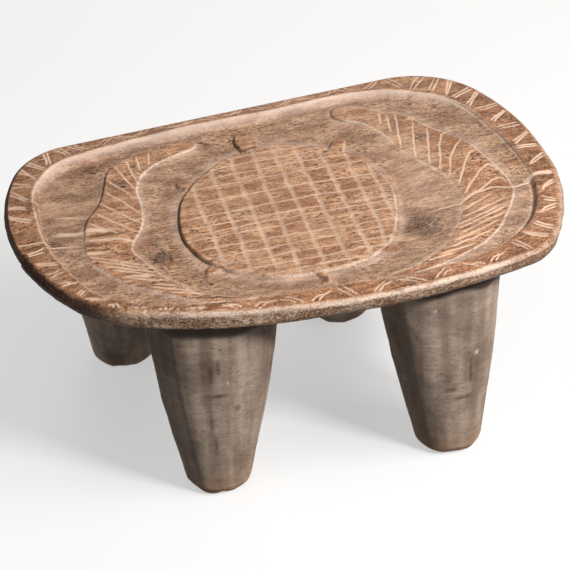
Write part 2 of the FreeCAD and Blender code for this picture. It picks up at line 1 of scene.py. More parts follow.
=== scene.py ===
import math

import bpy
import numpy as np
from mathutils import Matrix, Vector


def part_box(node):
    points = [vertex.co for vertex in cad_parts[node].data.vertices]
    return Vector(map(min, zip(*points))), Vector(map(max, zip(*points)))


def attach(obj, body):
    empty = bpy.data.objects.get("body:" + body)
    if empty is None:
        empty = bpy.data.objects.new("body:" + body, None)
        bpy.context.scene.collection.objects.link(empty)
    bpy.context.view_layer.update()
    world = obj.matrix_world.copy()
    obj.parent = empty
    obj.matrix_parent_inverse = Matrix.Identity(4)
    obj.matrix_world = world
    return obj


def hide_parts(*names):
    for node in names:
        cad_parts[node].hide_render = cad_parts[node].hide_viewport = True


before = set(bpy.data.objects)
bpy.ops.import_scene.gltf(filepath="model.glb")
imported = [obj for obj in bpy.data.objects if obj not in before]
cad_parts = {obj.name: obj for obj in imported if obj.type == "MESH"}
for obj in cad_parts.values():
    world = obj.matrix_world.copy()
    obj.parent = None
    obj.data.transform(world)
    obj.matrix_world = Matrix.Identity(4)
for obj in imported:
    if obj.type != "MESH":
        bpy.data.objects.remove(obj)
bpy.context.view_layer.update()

# %% [markdown]
# # A low carved stool
# The real stool is cut from one block of wood with an adze and a knife. Its
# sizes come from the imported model, which is loaded as a fixed frame. This
# script only gives it the surface of the real thing: relief figures, incised
# lines, cracks, tool marks and worn, dusty wood. Everything here is worked out
# in millimetres and handed to Blender in metres.

seat_low, seat_high = [np.array(corner) * 1000 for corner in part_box("seat")]
HALF_LONG = (seat_high[0] - seat_low[0]) / 2
HALF_WIDE = (seat_high[1] - seat_low[1]) / 2
CREST = seat_high[2]
UNDERSIDE = seat_low[2]
print("seat half sizes", HALF_LONG, HALF_WIDE, "from", UNDERSIDE, "to", CREST)

# %% [markdown]
# ## Camera
# A camera has a place, a way to look and a lens. These were found by matching
# the stool's outline and the straight incised lines of its shell, so the
# picture has the same view. A long lens far away keeps the far side of the
# seat almost as large as the near side.

# %% Objects and where they stand
def add(name, data):
    """A new object in the scene."""
    made = bpy.data.objects.new(name, data)
    bpy.context.scene.collection.objects.link(made)
    return made


def stand(thing, side, over, away, place):
    """Turn an object by its three axes and put it at a place, in metres."""
    rows = np.stack([side, over, away, place], axis=1)
    thing.matrix_world = Matrix([list(row) for row in rows] + [[0, 0, 0, 1]])


# %% Camera
AZIMUTH, ELEVATION, ROLL = (math.radians(d) for d in (-12.67, 37.0, -2.46))
DISTANCE, FOCAL_PIXELS, PICTURE = 2600.0, 2765.7, 570.0
AIM_RIGHT, AIM_UP, SEAT_SHIFT_Y = -1.1, 94.9, 2.4

back = np.array([math.sin(AZIMUTH) * math.cos(ELEVATION),
                 -math.cos(AZIMUTH) * math.cos(ELEVATION), math.sin(ELEVATION)])
right = np.array([math.cos(AZIMUTH), math.sin(AZIMUTH), 0.0])
up = np.cross(back, right)
eye = right * AIM_RIGHT + up * AIM_UP + back * DISTANCE + np.array([0, SEAT_SHIFT_Y, 0])
rolled_right = right * math.cos(ROLL) + up * math.sin(ROLL)
rolled_up = up * math.cos(ROLL) - right * math.sin(ROLL)

camera_data = bpy.data.cameras.new("camera")
camera_data.sensor_width = 36.0
camera_data.lens = FOCAL_PIXELS * camera_data.sensor_width / PICTURE
camera_data.clip_end = 50.0
camera = add("camera", camera_data)
stand(camera, rolled_right, rolled_up, back, eye / 1000)
bpy.context.scene.camera = camera
print("lens", round(camera_data.lens, 1), "mm, eye", eye.round(1))

# %% [markdown]
# ## Light and floor
# The stool is lit like an object in a catalogue. The strongest lamp stands in
# front on the right, so that the left sides of the legs fall dark, the seat
# shades the tops of the legs and the carving throws short shadows to the left.
# A larger lamp further right, weaker ones overhead and behind, and a pale world
# fill the shade. The floor is a plain pale sheet, far larger than the picture,
# that glows a little like a light table and so keeps the shadows pale. It
# throws no light back at the legs. The plain display transform keeps the browns
# as deep as they are on the wood.

# %% Lamps
LAMP_AIM = np.array([0, 0, 0.15])
# Each lamp: its place and size in metres, its watts and its colour
LAMPS = {
    "key_lamp": ((1.59, -0.74, 1.79), 0.9, 25, (1.0, 0.98, 0.95)),
    "front_lamp": ((1.0, -1.2, 1.65), 0.4, 37, (1.0, 0.98, 0.96)),
    "top_lamp": ((-0.9, -0.3, 2.2), 1.4, 10, (1.0, 0.985, 0.97)),
    "behind_lamp": ((0.5, 2.0, 1.0), 1.2, 9, (1.0, 0.985, 0.97)),
}


def lamp(name, place, size, watts, colour):
    """A square soft lamp at a place, turned towards the stool."""
    data = bpy.data.lights.new(name, "AREA")
    data.shape = "SQUARE"
    data.size = size
    data.energy = watts
    data.color = colour
    made = add(name, data)
    away = np.array(place, float) - LAMP_AIM
    away /= np.linalg.norm(away)
    side = np.cross([0, 0, 1], away)
    side /= np.linalg.norm(side)
    stand(made, side, np.cross(away, side), away, place)


for name, sizes in LAMPS.items():
    lamp(name, *sizes)
print("lamps", list(LAMPS))

# %% World and floor
WORLD_GLOW, FLOOR_GREY, FLOOR_GLOW, FLOOR_REACH = 0.12, 0.45, 0.5, 12.0
FLOOR_LOOK = {"Base Color": (FLOOR_GREY, FLOOR_GREY, FLOOR_GREY, 1), "Emission Color": (1, 1, 1, 1),
              "Emission Strength": FLOOR_GLOW, "Roughness": 0.9}

bpy.context.scene.view_settings.view_transform = "Standard"
world = bpy.data.worlds.new("pale_room")
world.use_nodes = True
world.node_tree.nodes["Background"].inputs["Color"].default_value = (1, 1, 1, 1)
world.node_tree.nodes["Background"].inputs["Strength"].default_value = WORLD_GLOW
bpy.context.scene.world = world

floor_mesh = bpy.data.meshes.new("floor")
corners = [(i * FLOOR_REACH, j * FLOOR_REACH, 0) for i, j in ((-1, -1), (1, -1), (1, 1), (-1, 1))]
floor_mesh.from_pydata(corners, [], [(0, 1, 2, 3)])
floor = add("floor", floor_mesh)
floor_paint = bpy.data.materials.new("pale_floor")
floor_paint.use_nodes = True
floor_shader = floor_paint.node_tree.nodes["Principled BSDF"]
for socket, value in FLOOR_LOOK.items():
    floor_shader.inputs[socket].default_value = value
floor_mesh.materials.append(floor_paint)
floor.visible_diffuse = False
print("floor", 2 * FLOOR_REACH, "m wide")

# %% [markdown]
# ## The outline of the seat
# The seat is a rounded rectangle drawn with four corners of different
# rounds, bowed ends, a bowed front and a nearly straight back. The same arcs
# are in the imported model. Here they give points all along the edge, and the
# distance of any point of the top from it.

# %% Arcs of an outline
def bow(one, two, side, apart):
    """Radius of the arc that touches an end or side line and the rounds of two
    corners, and its highest point's distance from corner one along that line."""
    def half(radius, corner):
        return math.sqrt((corner[side] - corner[2]) * (2 * radius - corner[2] - corner[side]))

    low, high = max(one[side] + one[2], two[side] + two[2]) / 2, 1e6
    for step in range(80):
        radius = (low + high) / 2
        wide = half(radius, one) + half(radius, two)
        low, high = (low, radius) if wide > apart else (radius, high)
    return radius, half(radius, one)


def way(middle, other):
    """The angle at which one point is seen from another."""
    return math.atan2(other[1] - middle[1], other[0] - middle[0])


# Each corner: its middle in from the end and from the side, and its round
BACK_LEFT = (78.5, 89.0, 66.0)
BACK_RIGHT = (103.0, 84.0, 84.0)
FRONT_RIGHT = (72.5, 67.5, 49.0)
FRONT_LEFT = (106.5, 120.4, 88.0)


def outline():
    """Seven arcs and the straight back of the seat's edge."""
    def corner(sizes, side_x, side_y):
        return side_x * (HALF_LONG - sizes[0]), side_y * (HALF_WIDE - sizes[1]), sizes[2]

    back_left, back_right = corner(BACK_LEFT, -1, 1), corner(BACK_RIGHT, 1, 1)
    front_right, front_left = corner(FRONT_RIGHT, 1, -1), corner(FRONT_LEFT, -1, -1)
    radius, down = bow(BACK_LEFT, FRONT_LEFT, 0, back_left[1] - front_left[1])
    left_end = (radius - HALF_LONG, back_left[1] - down, radius)
    radius, down = bow(BACK_RIGHT, FRONT_RIGHT, 0, back_right[1] - front_right[1])
    right_end = (HALF_LONG - radius, back_right[1] - down, radius)
    radius, along = bow(FRONT_LEFT, FRONT_RIGHT, 1, front_right[0] - front_left[0])
    front_side = (front_left[0] + along, radius - HALF_WIDE, radius)
    span = math.hypot(back_right[0] - back_left[0], back_right[1] - back_left[1])
    tilt = way(back_left, back_right) + math.acos((back_left[2] - back_right[2]) / span)
    chain = [back_left, left_end, front_left, front_side, front_right, right_end, back_right]
    # Two arcs meet in line with both middles, as seen from the wider one
    meets = [way(*sorted(pair, key=lambda arc: -arc[2])) for pair in zip(chain, chain[1:])]
    meets = [tilt] + meets + [tilt]
    arcs = [(arc, start, start + (stop - start) % (2 * math.pi))
            for arc, start, stop in zip(chain, meets, meets[1:])]
    return arcs, tilt, back_left, back_right


edge_line = outline()
print("arc radii", [round(arc[0][2]) for arc in edge_line[0]])

# %% Distance in from a line
FAR = 1e9


def inset_of(line, x, y):
    """Distance of each point inside a line, below zero outside it."""
    arcs, tilt, back_left, back_right = line
    nx, ny = math.cos(tilt), math.sin(tilt)
    best = nx * back_left[0] + ny * back_left[1] + back_left[2] - nx * x - ny * y
    foot = ny * x - nx * y
    ends = [ny * c[0] - nx * c[1] for c in (back_left, back_right)]
    best[(foot < min(ends)) | (foot > max(ends))] = FAR
    for (cx, cy, r), start, stop in arcs:
        turn = np.mod(np.arctan2(y - cy, x - cx) - start, 2 * np.pi)
        near = r - np.hypot(x - cx, y - cy)
        best = np.minimum(best, np.where(turn <= stop - start + 1e-6, near, FAR))
    return best


print("inset of the middle", inset_of(edge_line, np.zeros(1), np.zeros(1)).round(1), "mm")

# %% Points along the edge
SPACING = 0.2
edge_points, edge_normals = [], []
for (cx, cy, r), start, stop in edge_line[0]:
    turns = np.arange(start, stop, SPACING / r)
    unit = np.stack([np.cos(turns), np.sin(turns)], axis=1)
    edge_points.append(np.array([cx, cy]) + r * unit)
    edge_normals.append(unit)
line_start, line_stop = edge_points[-1][-1], edge_points[0][0]
steps = np.linspace(0, 1, int(np.linalg.norm(line_stop - line_start) / SPACING))[1:-1]
edge_points.append(line_start + (line_stop - line_start) * steps[:, None])
edge_normals.append(np.tile([math.cos(edge_line[1]), math.sin(edge_line[1])], (len(steps), 1)))
edge_points = np.concatenate(edge_points)
edge_normals = np.concatenate(edge_normals)
lengths = np.linalg.norm(np.diff(edge_points, axis=0, append=edge_points[:1]), axis=1)
edge_s = np.concatenate([[0], np.cumsum(lengths)])
PERIMETER = edge_s[-1]


def edge_at(s, inset):
    """Points a distance s along the edge, moved in by inset, and the way outward there."""
    s = np.mod(s, PERIMETER)
    loop = np.concatenate([edge_points, edge_points[:1]])
    turn = np.concatenate([edge_normals, edge_normals[:1]])
    place = np.stack([np.interp(s, edge_s, loop[:, k]) for k in (0, 1)], axis=1)
    out = np.stack([np.interp(s, edge_s, turn[:, k]) for k in (0, 1)], axis=1)
    out /= np.linalg.norm(out, axis=1)[:, None]
    return place - out * np.reshape(inset, (-1, 1)), out


print("edge length", round(PERIMETER), "mm")

# %% [markdown]
# ## A grid that ends on the edge
# The carving is a relief, so the top of the seat is a fine grid of points
# whose heights are set one by one, like a hammered sheet. A square grid leaves
# a staircase at the border. Its border points are slid onto a line just inside
# the edge, and later the rounded edge and the side are hung on that line.

# %% Square grid inside the edge
CELL = 0.85
BORDER = 4.0
columns = int(2 * HALF_LONG / CELL) + 1
rows = int(2 * HALF_WIDE / CELL) + 1
grid_x, grid_y = np.meshgrid((np.arange(columns) - (columns - 1) / 2) * CELL,
                             (np.arange(rows) - (rows - 1) / 2) * CELL, indexing="ij")
inside = inset_of(edge_line, grid_x, grid_y) > BORDER + 0.6 * CELL
cell_in = inside[:-1, :-1] & inside[1:, :-1] & inside[:-1, 1:] & inside[1:, 1:]
used = np.zeros_like(inside)
CORNERS = ((0, 0), (1, 0), (1, 1), (0, 1))
for i, j in CORNERS:
    used[i:i + cell_in.shape[0], j:j + cell_in.shape[1]] |= cell_in
number = np.full(inside.shape, -1)
number[used] = np.arange(used.sum())
ci, cj = np.nonzero(cell_in)
top_faces = np.stack([number[ci + i, cj + j] for i, j in CORNERS], axis=1)
print("cells of the top", len(top_faces))

# %% Walk round the border, anticlockwise
after = {}
padded = np.pad(cell_in, 1)
for di, dj, a, b in ((0, -1, 0, 1), (1, 0, 1, 2), (0, 1, 2, 3), (-1, 0, 3, 0)):
    open_side = ~padded[ci + 1 + di, cj + 1 + dj]
    for start, stop in zip(top_faces[open_side, a], top_faces[open_side, b]):
        after[int(start)] = int(stop)
first = next(iter(after))
border = [first]
while after[border[-1]] != first:
    border.append(after[border[-1]])
border = np.array(border)
print("border points", len(border))

# %% Slide the border onto a smooth line and even out its spacing
top = np.stack([grid_x[used], grid_y[used]], axis=1)
nearest = np.array([np.argmin(((edge_points - p) ** 2).sum(1)) for p in top[border]])
border_s = np.unwrap(edge_s[nearest] * 2 * np.pi / PERIMETER) * PERIMETER / (2 * np.pi)
WINDOW = 9
wide = np.concatenate([border_s[-WINDOW:] - PERIMETER, border_s, border_s[:WINDOW] + PERIMETER])
border_s = np.convolve(wide, np.ones(WINDOW) / WINDOW, "same")[WINDOW:-WINDOW]
top[border] = edge_at(border_s, BORDER)[0]
print("top points", len(top))

# %% [markdown]
# ## Uneven handwork
# Nothing on a hewn stool is exact. A lattice of seeded random numbers, blended
# smoothly, gives gentle unevenness of any size, and it comes out the same on
# every run.

# %% Smooth unevenness
def uneven(seed, size, *places):
    """Smooth random values from -1 to 1 that change over about size mm."""
    lattice = np.random.default_rng(seed).uniform(-1, 1, (32,) * len(places))
    scaled = [np.asarray(p, float) / size for p in places]
    whole = [np.floor(p).astype(int) for p in scaled]
    part = [p - w for p, w in zip(scaled, whole)]
    part = [t * t * (3 - 2 * t) for t in part]
    total = 0.0
    for corner in range(2 ** len(places)):
        weight, index = 1.0, []
        for axis in range(len(places)):
            bit = corner >> axis & 1
            weight = weight * (part[axis] if bit else 1 - part[axis])
            index.append((whole[axis] + bit) % 32)
        total = total + weight * lattice[tuple(index)]
    return total


def ease(value, low, high):
    """0 below low, 1 above high, and a soft step between."""
    t = np.clip((value - low) / (high - low), 0, 1)
    return t * t * (3 - 2 * t)


def soft_low(a, b, round_mm):
    """The lower of two surfaces, with a rounded meeting line."""
    return -round_mm * np.logaddexp(-a / round_mm, -b / round_mm)


def soft_high(a, b, round_mm):
    """The higher of two surfaces, with a rounded meeting line."""
    return round_mm * np.logaddexp(a / round_mm, b / round_mm)


print("unevenness of the rim at its middle", uneven(3, 45, 0.0, 0.0).round(2))

# %% [markdown]
# ## Rim and field
# The rim is a band that leans outward, highest along its inner crest. Inside it
# the wood is cut down to a sunk field. Two sloping surfaces and a floor are
# joined with rounded meeting lines, because a knife and years of use leave no
# sharp corner.

# %% Closed lines and distances to them
def smooth_loop(points, pieces=7):
    """A closed curve through the points, as many short straight pieces."""
    p = np.array(points, float)
    q = [np.roll(p, k, axis=0) for k in (1, 0, -1, -2)]
    curve = []
    for t in np.arange(pieces) / pieces:
        curve.append(0.5 * (2 * q[1] + (q[2] - q[0]) * t + (2 * q[0] - 5 * q[1] + 4 * q[2] - q[3]) * t ** 2
                            + (3 * q[1] - q[0] - 3 * q[2] + q[3]) * t ** 3))
    return np.stack(curve, axis=1).reshape(-1, 2)


def from_piece(px, py, start, stop):
    """How far along a straight piece each point lies, and how far from it."""
    ex, ey = stop[0] - start[0], stop[1] - start[1]
    dx, dy = px - start[0], py - start[1]
    t = np.clip((dx * ex + dy * ey) / (ex * ex + ey * ey + 1e-9), 0, 1)
    return t, np.hypot(dx - t * ex, dy - t * ey)


def in_box(x, y, low, high):
    """The numbers of the points inside a box."""
    return np.nonzero((x > low[0]) & (x < high[0]) & (y > low[1]) & (y < high[1]))[0]


def outside_of(loop, x, y, reach=12.0):
    """Distance to a closed line, below zero inside it, and reach far away."""
    found = np.full(x.shape, reach)
    near = in_box(x, y, loop.min(0) - reach, loop.max(0) + reach)
    px, py = x[near], y[near]
    best = np.full(px.shape, FAR)
    odd = np.zeros(px.shape, bool)
    for (ax, ay), (bx, by) in zip(loop, np.roll(loop, -1, axis=0)):
        best = np.minimum(best, from_piece(px, py, (ax, ay), (bx, by))[1])
        if ay != by:
            odd ^= ((ay > py) != (by > py)) & (px < (bx - ax) * (py - ay) / (by - ay) + ax)
    found[near] = np.minimum(best, reach) * np.where(odd, -1, 1)
    return found


print("tools for closed lines ready")

# %% Crest of the rim
CREST_LINE = [
    (128, 140), (101, 142.4), (73, 141.6), (51, 138.8), (21, 136), (-20, 134.5), (-57, 132.5),
    (-92, 128.5), (-128, 123), (-153, 118.5), (-171, 114), (-186, 107.4), (-197.5, 97), (-206.5, 85),
    (-213, 72.5), (-216.5, 60), (-218, 45), (-218.8, 25), (-218.8, 5), (-217, -15), (-213.6, -32),
    (-209, -48), (-203.5, -64), (-197, -80), (-189, -95), (-178, -107), (-163, -117.5), (-142, -127),
    (-120, -133), (-95, -137), (-70, -140.5), (-44, -142.7), (-20, -143.8), (10, -144.5), (48, -145.2),
    (75, -145.2), (100, -144), (127, -140.5), (147, -136), (163, -129.5), (176, -122), (190, -111),
    (203, -96), (212, -79), (219, -58), (222.5, -34), (222, -9), (218, 20.6), (210.5, 50), (203, 75),
    (194, 95), (181, 111), (166.5, 122), (149, 132)]
crest_loop = smooth_loop(CREST_LINE, 3)
print("crest pieces", len(crest_loop))

# %% Sizes of the rim and the field, and where the edge is chipped
FIELD = -7.5
RIM_DROP = 3.5
CHIP_WIDE, CHIP_DEEP = 7.0, 5.0
# How far the wall runs out before it reaches the field, and what is added to
# that at the back, along the right and at the lower right
WALL_RUN, BACK_RUN, RIGHT_RUN, LOW_RIGHT_RUN = 5.0, 3.0, 14.0, -0.5
# How much higher the field lies along the right, and over what reach
RIGHT_FILL, LOW_RIGHT_FILL, FILL_REACH = 4.6, -2.4, 24.0


def chipped(at_x, at_y):
    """1 along the left end in front of its split, where the edge has broken off."""
    return ease(-at_x, 165, 215) * ease(-at_y, 20, 25)


def slope_of(values):
    """Which way the values rise at each point, read from the square grid."""
    sheet = np.zeros(used.shape)
    sheet[used] = values
    along_x, along_y = np.gradient(sheet, CELL)
    return along_x[used], along_y[used]


print("level of the field", FIELD, "mm from the crest")

# %% Heights of the rim and the field, measured from the crest
x, y = top[:, 0], top[:, 1]
inset = inset_of(edge_line, x, y)
past_rim = -outside_of(crest_loop, x, y, 400.0) + 0.5 * uneven(3, 45, x, y)
inward_x, inward_y = slope_of(past_rim)
facing_front = ease(-inward_y, 0.2, 0.8)
facing_left = ease(-inward_x, 0.3, 0.8)
facing_right = ease(inward_x, 0.3, 0.8)
low_right = facing_left * ease(-y, 25, 50)
high_right = facing_left - low_right
wall_run = WALL_RUN + BACK_RUN * facing_front + RIGHT_RUN * high_right + LOW_RIGHT_RUN * low_right
across_rim = np.clip(inset / np.maximum(inset - past_rim, 1.0), 0, 1)
rim = -RIM_DROP * (1 - across_rim)
wall = FIELD * past_rim / wall_run
fill = RIGHT_FILL * facing_left + LOW_RIGHT_FILL * low_right
shallow = fill * np.exp(-np.maximum(past_rim - 3, 0) / FILL_REACH)
floor_level = FIELD + shallow + 0.4 * uneven(4, 38, x, y) + 0.2 * uneven(5, 11, x, y)
on_rim = ease(-past_rim, -0.6, 0.8)
print("rim over", on_rim.mean().round(2), "of the top")

# %% Marks on the wall: dust and painted highlight at the back, painted shadow and highlight lines along the right
def line_at(distance, width):
    """A soft line, 1 where the distance is 0."""
    return np.exp(-(distance / width) ** 2)


patches = 0.75 + 0.5 * uneven(7, 16, x, y)
# Dust on the back wall, painted paler as highlight where the wall faces the lamps in front
dust_and_painted_highlight = 1.05 * facing_front * ease(past_rim, -1.0, 1.5) * np.exp(-np.maximum(past_rim - 2.0, 0) / 3.8)
# Pale worn crest, painted brighter as highlight where the wall faces right and front, and painted highlight
# lines at the foot of the right walls
pale_wear_and_highlight = (0.25 + 0.35 * facing_right + 0.5 * facing_front) * line_at(past_rim - 0.4, 1.0) * patches
pale_wear_and_highlight = np.maximum(pale_wear_and_highlight, 0.7 * low_right * line_at(past_rim - 5.4, 0.9) * patches)
pale_wear_and_highlight = np.maximum(pale_wear_and_highlight, 0.5 * high_right * line_at(past_rim - 3.6, 0.9) * patches)
# Painted shadow: dark lines along the walls on the right, which face away from the lamps
dark_breaks_and_painted_shade = 0.35 * low_right * (1 - facing_front) * line_at(past_rim - 1.8, 1.3)
painted_shadow_line = 0.75 * high_right * (1 - facing_front) * line_at(past_rim - 1.3, 0.9) * patches
dark_breaks_and_painted_shade = np.maximum(dark_breaks_and_painted_shade, painted_shadow_line)
print("dusty share of the top", (dust_and_painted_highlight > 0.2).mean().round(3))

# %% [markdown]
# ## The raised figures
# A tortoise lies in the middle: a round shell, a head towards the back, four
# paws and a tail. A ribbed crescent curls round it on each side. Each figure
# is a closed line drawn through a few points, and everything inside it stays
# higher than the field, with steep worn sides.

# %% The tortoise and the crescents as closed lines
SHELL = [
    (-4, 84.5), (14, 83.5), (38, 76), (56, 66), (71, 53), (83, 38), (91, 20), (95.5, -2), (96, -20),
    (92, -42), (86, -64), (76, -84), (64, -99), (46, -110), (24, -115), (0, -116), (-22, -114),
    (-42, -109), (-60, -99), (-76, -86), (-88, -70), (-95, -52), (-98, -34), (-97, -16), (-93, 4),
    (-86, 24), (-73, 42), (-62, 54), (-43, 70), (-23, 80)]
HEAD = [
    (-16, 80), (-20, 91), (-21.5, 100), (-18, 109), (-10.5, 112.5), (-3.5, 109), (-0.8, 99), (-3, 90),
    (-4, 80)]
TAIL = [(-12, -104), (-6, -110), (-1, -115), (4, -123), (8, -128.5), (9.5, -125.5), (6, -116), (2, -107)]
PAWS = [
    [(58, 60), (61, 67.5), (67, 75.5), (74, 77), (76, 72.4), (73, 65), (69, 55)],
    [(-72, 36), (-80, 37), (-85, 41), (-87.6, 46), (-85, 51), (-79, 51), (-70, 44)],
    [(-78, -72), (-84, -79), (-90, -86), (-90, -90.5), (-82.5, -90), (-76.5, -87), (-70, -82)],
    [(60, -94), (66, -92), (72, -94), (77.5, -98.5), (79, -103.5), (74, -107), (66, -104), (58, -100)],
]
RIGHT_CRESCENT = [
    (75, 118), (80, 126), (93, 126), (108, 117), (121, 108), (140, 93), (154, 71), (165, 57),
    (181, 35), (188, 18), (196.5, -16), (199.7, -40), (198, -55), (183, -82), (163, -108), (135, -125),
    (98, -138), (66, -143), (60, -140), (80, -133), (97, -125), (118, -110.5), (135, -89),
    (147, -64.5), (155, -43), (153.5, -29), (147, -4), (130, 25), (118, 54), (110.5, 76), (98.5, 95),
    (89, 101.5), (77, 108)]
LEFT_CRESCENT = [
    (-56.5, 104), (-57.5, 113), (-68, 113.5), (-81, 113), (-101, 107.5), (-123, 101.5), (-137, 92),
    (-146, 78), (-152, 57), (-158, 40), (-173, 18), (-179, 1), (-184, -22), (-184, -40), (-181, -52),
    (-171, -67), (-159, -84), (-140, -101), (-120, -118), (-98, -130), (-72, -136), (-58, -135),
    (-86, -125), (-106, -114), (-115, -101), (-127.5, -84), (-140, -55), (-145, -38), (-141, -26),
    (-135, -16), (-127.5, 1), (-124, 25), (-124, 45), (-120, 61), (-110.5, 76), (-98.5, 86), (-80, 94),
    (-64, 98.5)]

# Each figure: height, crown, cut along its left side, which is also painted dark
# as shade, how pale that side is, the run of its slope on the left and on the
# right, and how far the field climbs to it and over what reach
figures = [("shell", SHELL, 4.4, 0.8, 1.4, 0.0, 1.8, 2.2, 2.6, 10),
           ("head", HEAD, 4.0, 0.5, 1.0, 0.0, 1.8, 2.8, 2.2, 10),
           ("tail", TAIL, 3.8, 0.2, 0.5, 0.1, 1.2, 1.4, 1.8, 10)]
figures += [("paw", points, 3.8, 0.4, 0.4, 0.1, 1.2, 1.4, 2.2, 10) for points in PAWS]
figures += [("right_crescent", RIGHT_CRESCENT, 4.0, 0.5, 0.0, 0.9, 3.0, 6.5, 3.4, 32),
            ("left_crescent", LEFT_CRESCENT, 4.0, 0.5, 0.9, 0.4, 1.8, 4.0, 2.9, 10)]
print("figures", [figure[0] for figure in figures])

# %% Cut sharp on the left, worn to slopes on the right and in front
LIT_WAY = np.array([0.78, -0.62])

on_figure = np.zeros(len(top))
relief = np.zeros(len(top))
notches = np.zeros(len(top))
climb = np.zeros(len(top))
apart = {}
for name, points, rise, crown, notch, pale_left, run_left, run_right, hill, reach in figures:
    far = outside_of(smooth_loop(points), x, y, 60.0) + 0.5 * uneven(6, 14, x, y)
    apart[name] = np.minimum(apart.get(name, FAR), far)
    turn_x, turn_y = slope_of(far)
    lit = ease(turn_x * LIT_WAY[0] + turn_y * LIT_WAY[1], -0.5, 0.5)
    run = run_left + (run_right - run_left) * lit
    step = 1 - ease(far, -0.6, run)
    dome = crown * (1 - np.exp(np.minimum(far, 0) / 14))
    relief = np.maximum(relief, (rise + dome) * step)
    on_figure = np.maximum(on_figure, 1 - ease(far, -0.8, 0.6))
    # The cut on the side away from the lamps is painted dark, as painted shade. Pale worn edges and the
    # slopes beside them are painted paler on the side towards the lamps, as painted highlight over wear and
    # dust.
    cut_here = (1 - lit) * line_at(far - 1.0, 0.95)
    pale_and_highlight_here = pale_left + (1 - pale_left) * lit
    if name == "left_crescent":
        # Its front end is worn: no cut beside it, and a pale edge
        cut_here = cut_here * ease(y, -12, 12)
        pale_and_highlight_here = np.maximum(pale_and_highlight_here, 0.85 * ease(-y, 25, 50))
    elif name in ("head", "paw", "tail"):
        pale_and_highlight_here = 0.45 * pale_and_highlight_here
    notches = np.maximum(notches, notch * cut_here)
    dark_breaks_and_painted_shade = np.maximum(dark_breaks_and_painted_shade, min(notch, 1.0) * cut_here)
    pale_wear_and_highlight = np.maximum(pale_wear_and_highlight, pale_and_highlight_here * line_at(far - 0.3, 0.9) * patches)
    dust_and_painted_highlight = np.maximum(dust_and_painted_highlight, 0.25 * pale_and_highlight_here * line_at(far - 0.6 * run, 0.8 * run) * (far > 0))
    climb = np.maximum(climb, hill * np.exp(-np.maximum(far, 0) / reach))

# A ring of dust lies round the shell, and neither dust nor painted highlight on the tortoise's head and
# limbs
limbs = 1 - ease(np.minimum(np.minimum(apart["head"], apart["tail"]), apart["paw"]), -0.4, 0.8)
ring_of_dust = 0.5 * line_at(apart["shell"] - 5.0, 3.5) * patches
dust_and_painted_highlight = np.maximum(dust_and_painted_highlight, ring_of_dust) * (1 - 0.9 * limbs)

# A gouge left round valleys between the figures, so the field climbs to each
field = floor_level + climb * ease(past_rim, 2, 14)
height = np.maximum(field, floor_level + relief) - notches
height = soft_high(height, soft_low(rim, wall, 0.5), 0.5)
print("raised share of the top", on_figure.mean().round(2))

# %% [markdown]
# ## Incised lines
# The carver crossed the shell with a grid of cuts, ribbed the crescents with
# slanting cuts, and ran pairs of short cuts that lean left and right in turn
# all round the rim. A cut is a shallow groove along a line that is never quite
# straight. Dust has filled the cuts, so they show pale.

# %% A knife that cuts grooves
groove = np.zeros(len(top))
knife = np.random.default_rng(11)


def cut(points, wide, deep, within=None, pale=1.0, wander=0.5):
    """Sink a groove along a line, tapered at both ends."""
    points = np.array(points, float)
    part = np.concatenate([[0], np.cumsum(np.linalg.norm(np.diff(points, axis=0), axis=1))])
    count = max(2, int(part[-1] / 6))
    at = np.linspace(0, part[-1], count + 1)
    line = np.stack([np.interp(at, part, points[:, k]) for k in (0, 1)], axis=1)
    line[1:-1] += knife.normal(0, wander, (count - 1, 2)) * 0.6
    near = in_box(x, y, line.min(0) - wide, line.max(0) + wide)
    if within is not None:
        near = near[within[near]]
    px, py = x[near], y[near]
    best, along = np.full(px.shape, FAR), np.zeros(px.shape)
    for k in range(count):
        t, d = from_piece(px, py, line[k], line[k + 1])
        along = np.where(d < best, (k + t) / count, along)
        best = np.minimum(best, d)
    press = 0.8 + 0.5 * uneven(51, 13, px, py)
    taper = np.clip(np.minimum(along, 1 - along) * 9, 0.25, 1)
    strength = np.clip(1 - (2 * best / wide) ** 2, 0, 1) * taper * press
    height[near] -= deep * strength
    groove[near] = np.maximum(groove[near], pale * np.sqrt(np.clip(strength, 0, 1)))


print("knife ready")

# %% Grid of cuts on the shell
in_shell = apart["shell"] < -1.2
# Lines that run back to front: place and lean. Lines from left to right: place and tilt
LONG_LINES = ((-73, 2), (-52, 1), (-31, -1), (-11, 2), (10, -1), (30, -2), (51, -2), (70.5, 1.5), (87, 0))
CROSS_LINES = (
    (72, 1), (61, 1.5), (48, 2), (33.5, 1.5), (12.5, 0.5), (-7.5, 1), (-25, -0.5), (-33, 1),
    (-42.5, -0.5), (-59, -1), (-71, 0.5), (-84, 0), (-96, 0.5), (-107.5, 0))
for at_x, lean in LONG_LINES:
    line = [(at_x + lean, 86), (at_x - 1, 20), (at_x + 0.5, -50), (at_x - lean, -118)]
    cut(line, 5.0, 0.4, in_shell, 0.36, 0.9)
for at_y, tilt in CROSS_LINES:
    # Each line was cut in several goes that hardly meet
    start = -100 + knife.uniform(0, 12)
    while start < 92:
        stop = start + knife.uniform(45, 95)
        off = knife.normal(0, 0.7, 2)
        level = [at_y + tilt * start / 100 + off[0], at_y + tilt * stop / 100 + off[1]]
        middle = ((start + stop) / 2, sum(level) / 2 + 0.4)
        cut([(start, level[0]), middle, (stop, level[1])], 1.7, 0.5, in_shell, 0.65)
        start = stop - knife.uniform(2, 9)
print("lines on the shell", len(LONG_LINES), len(CROSS_LINES))

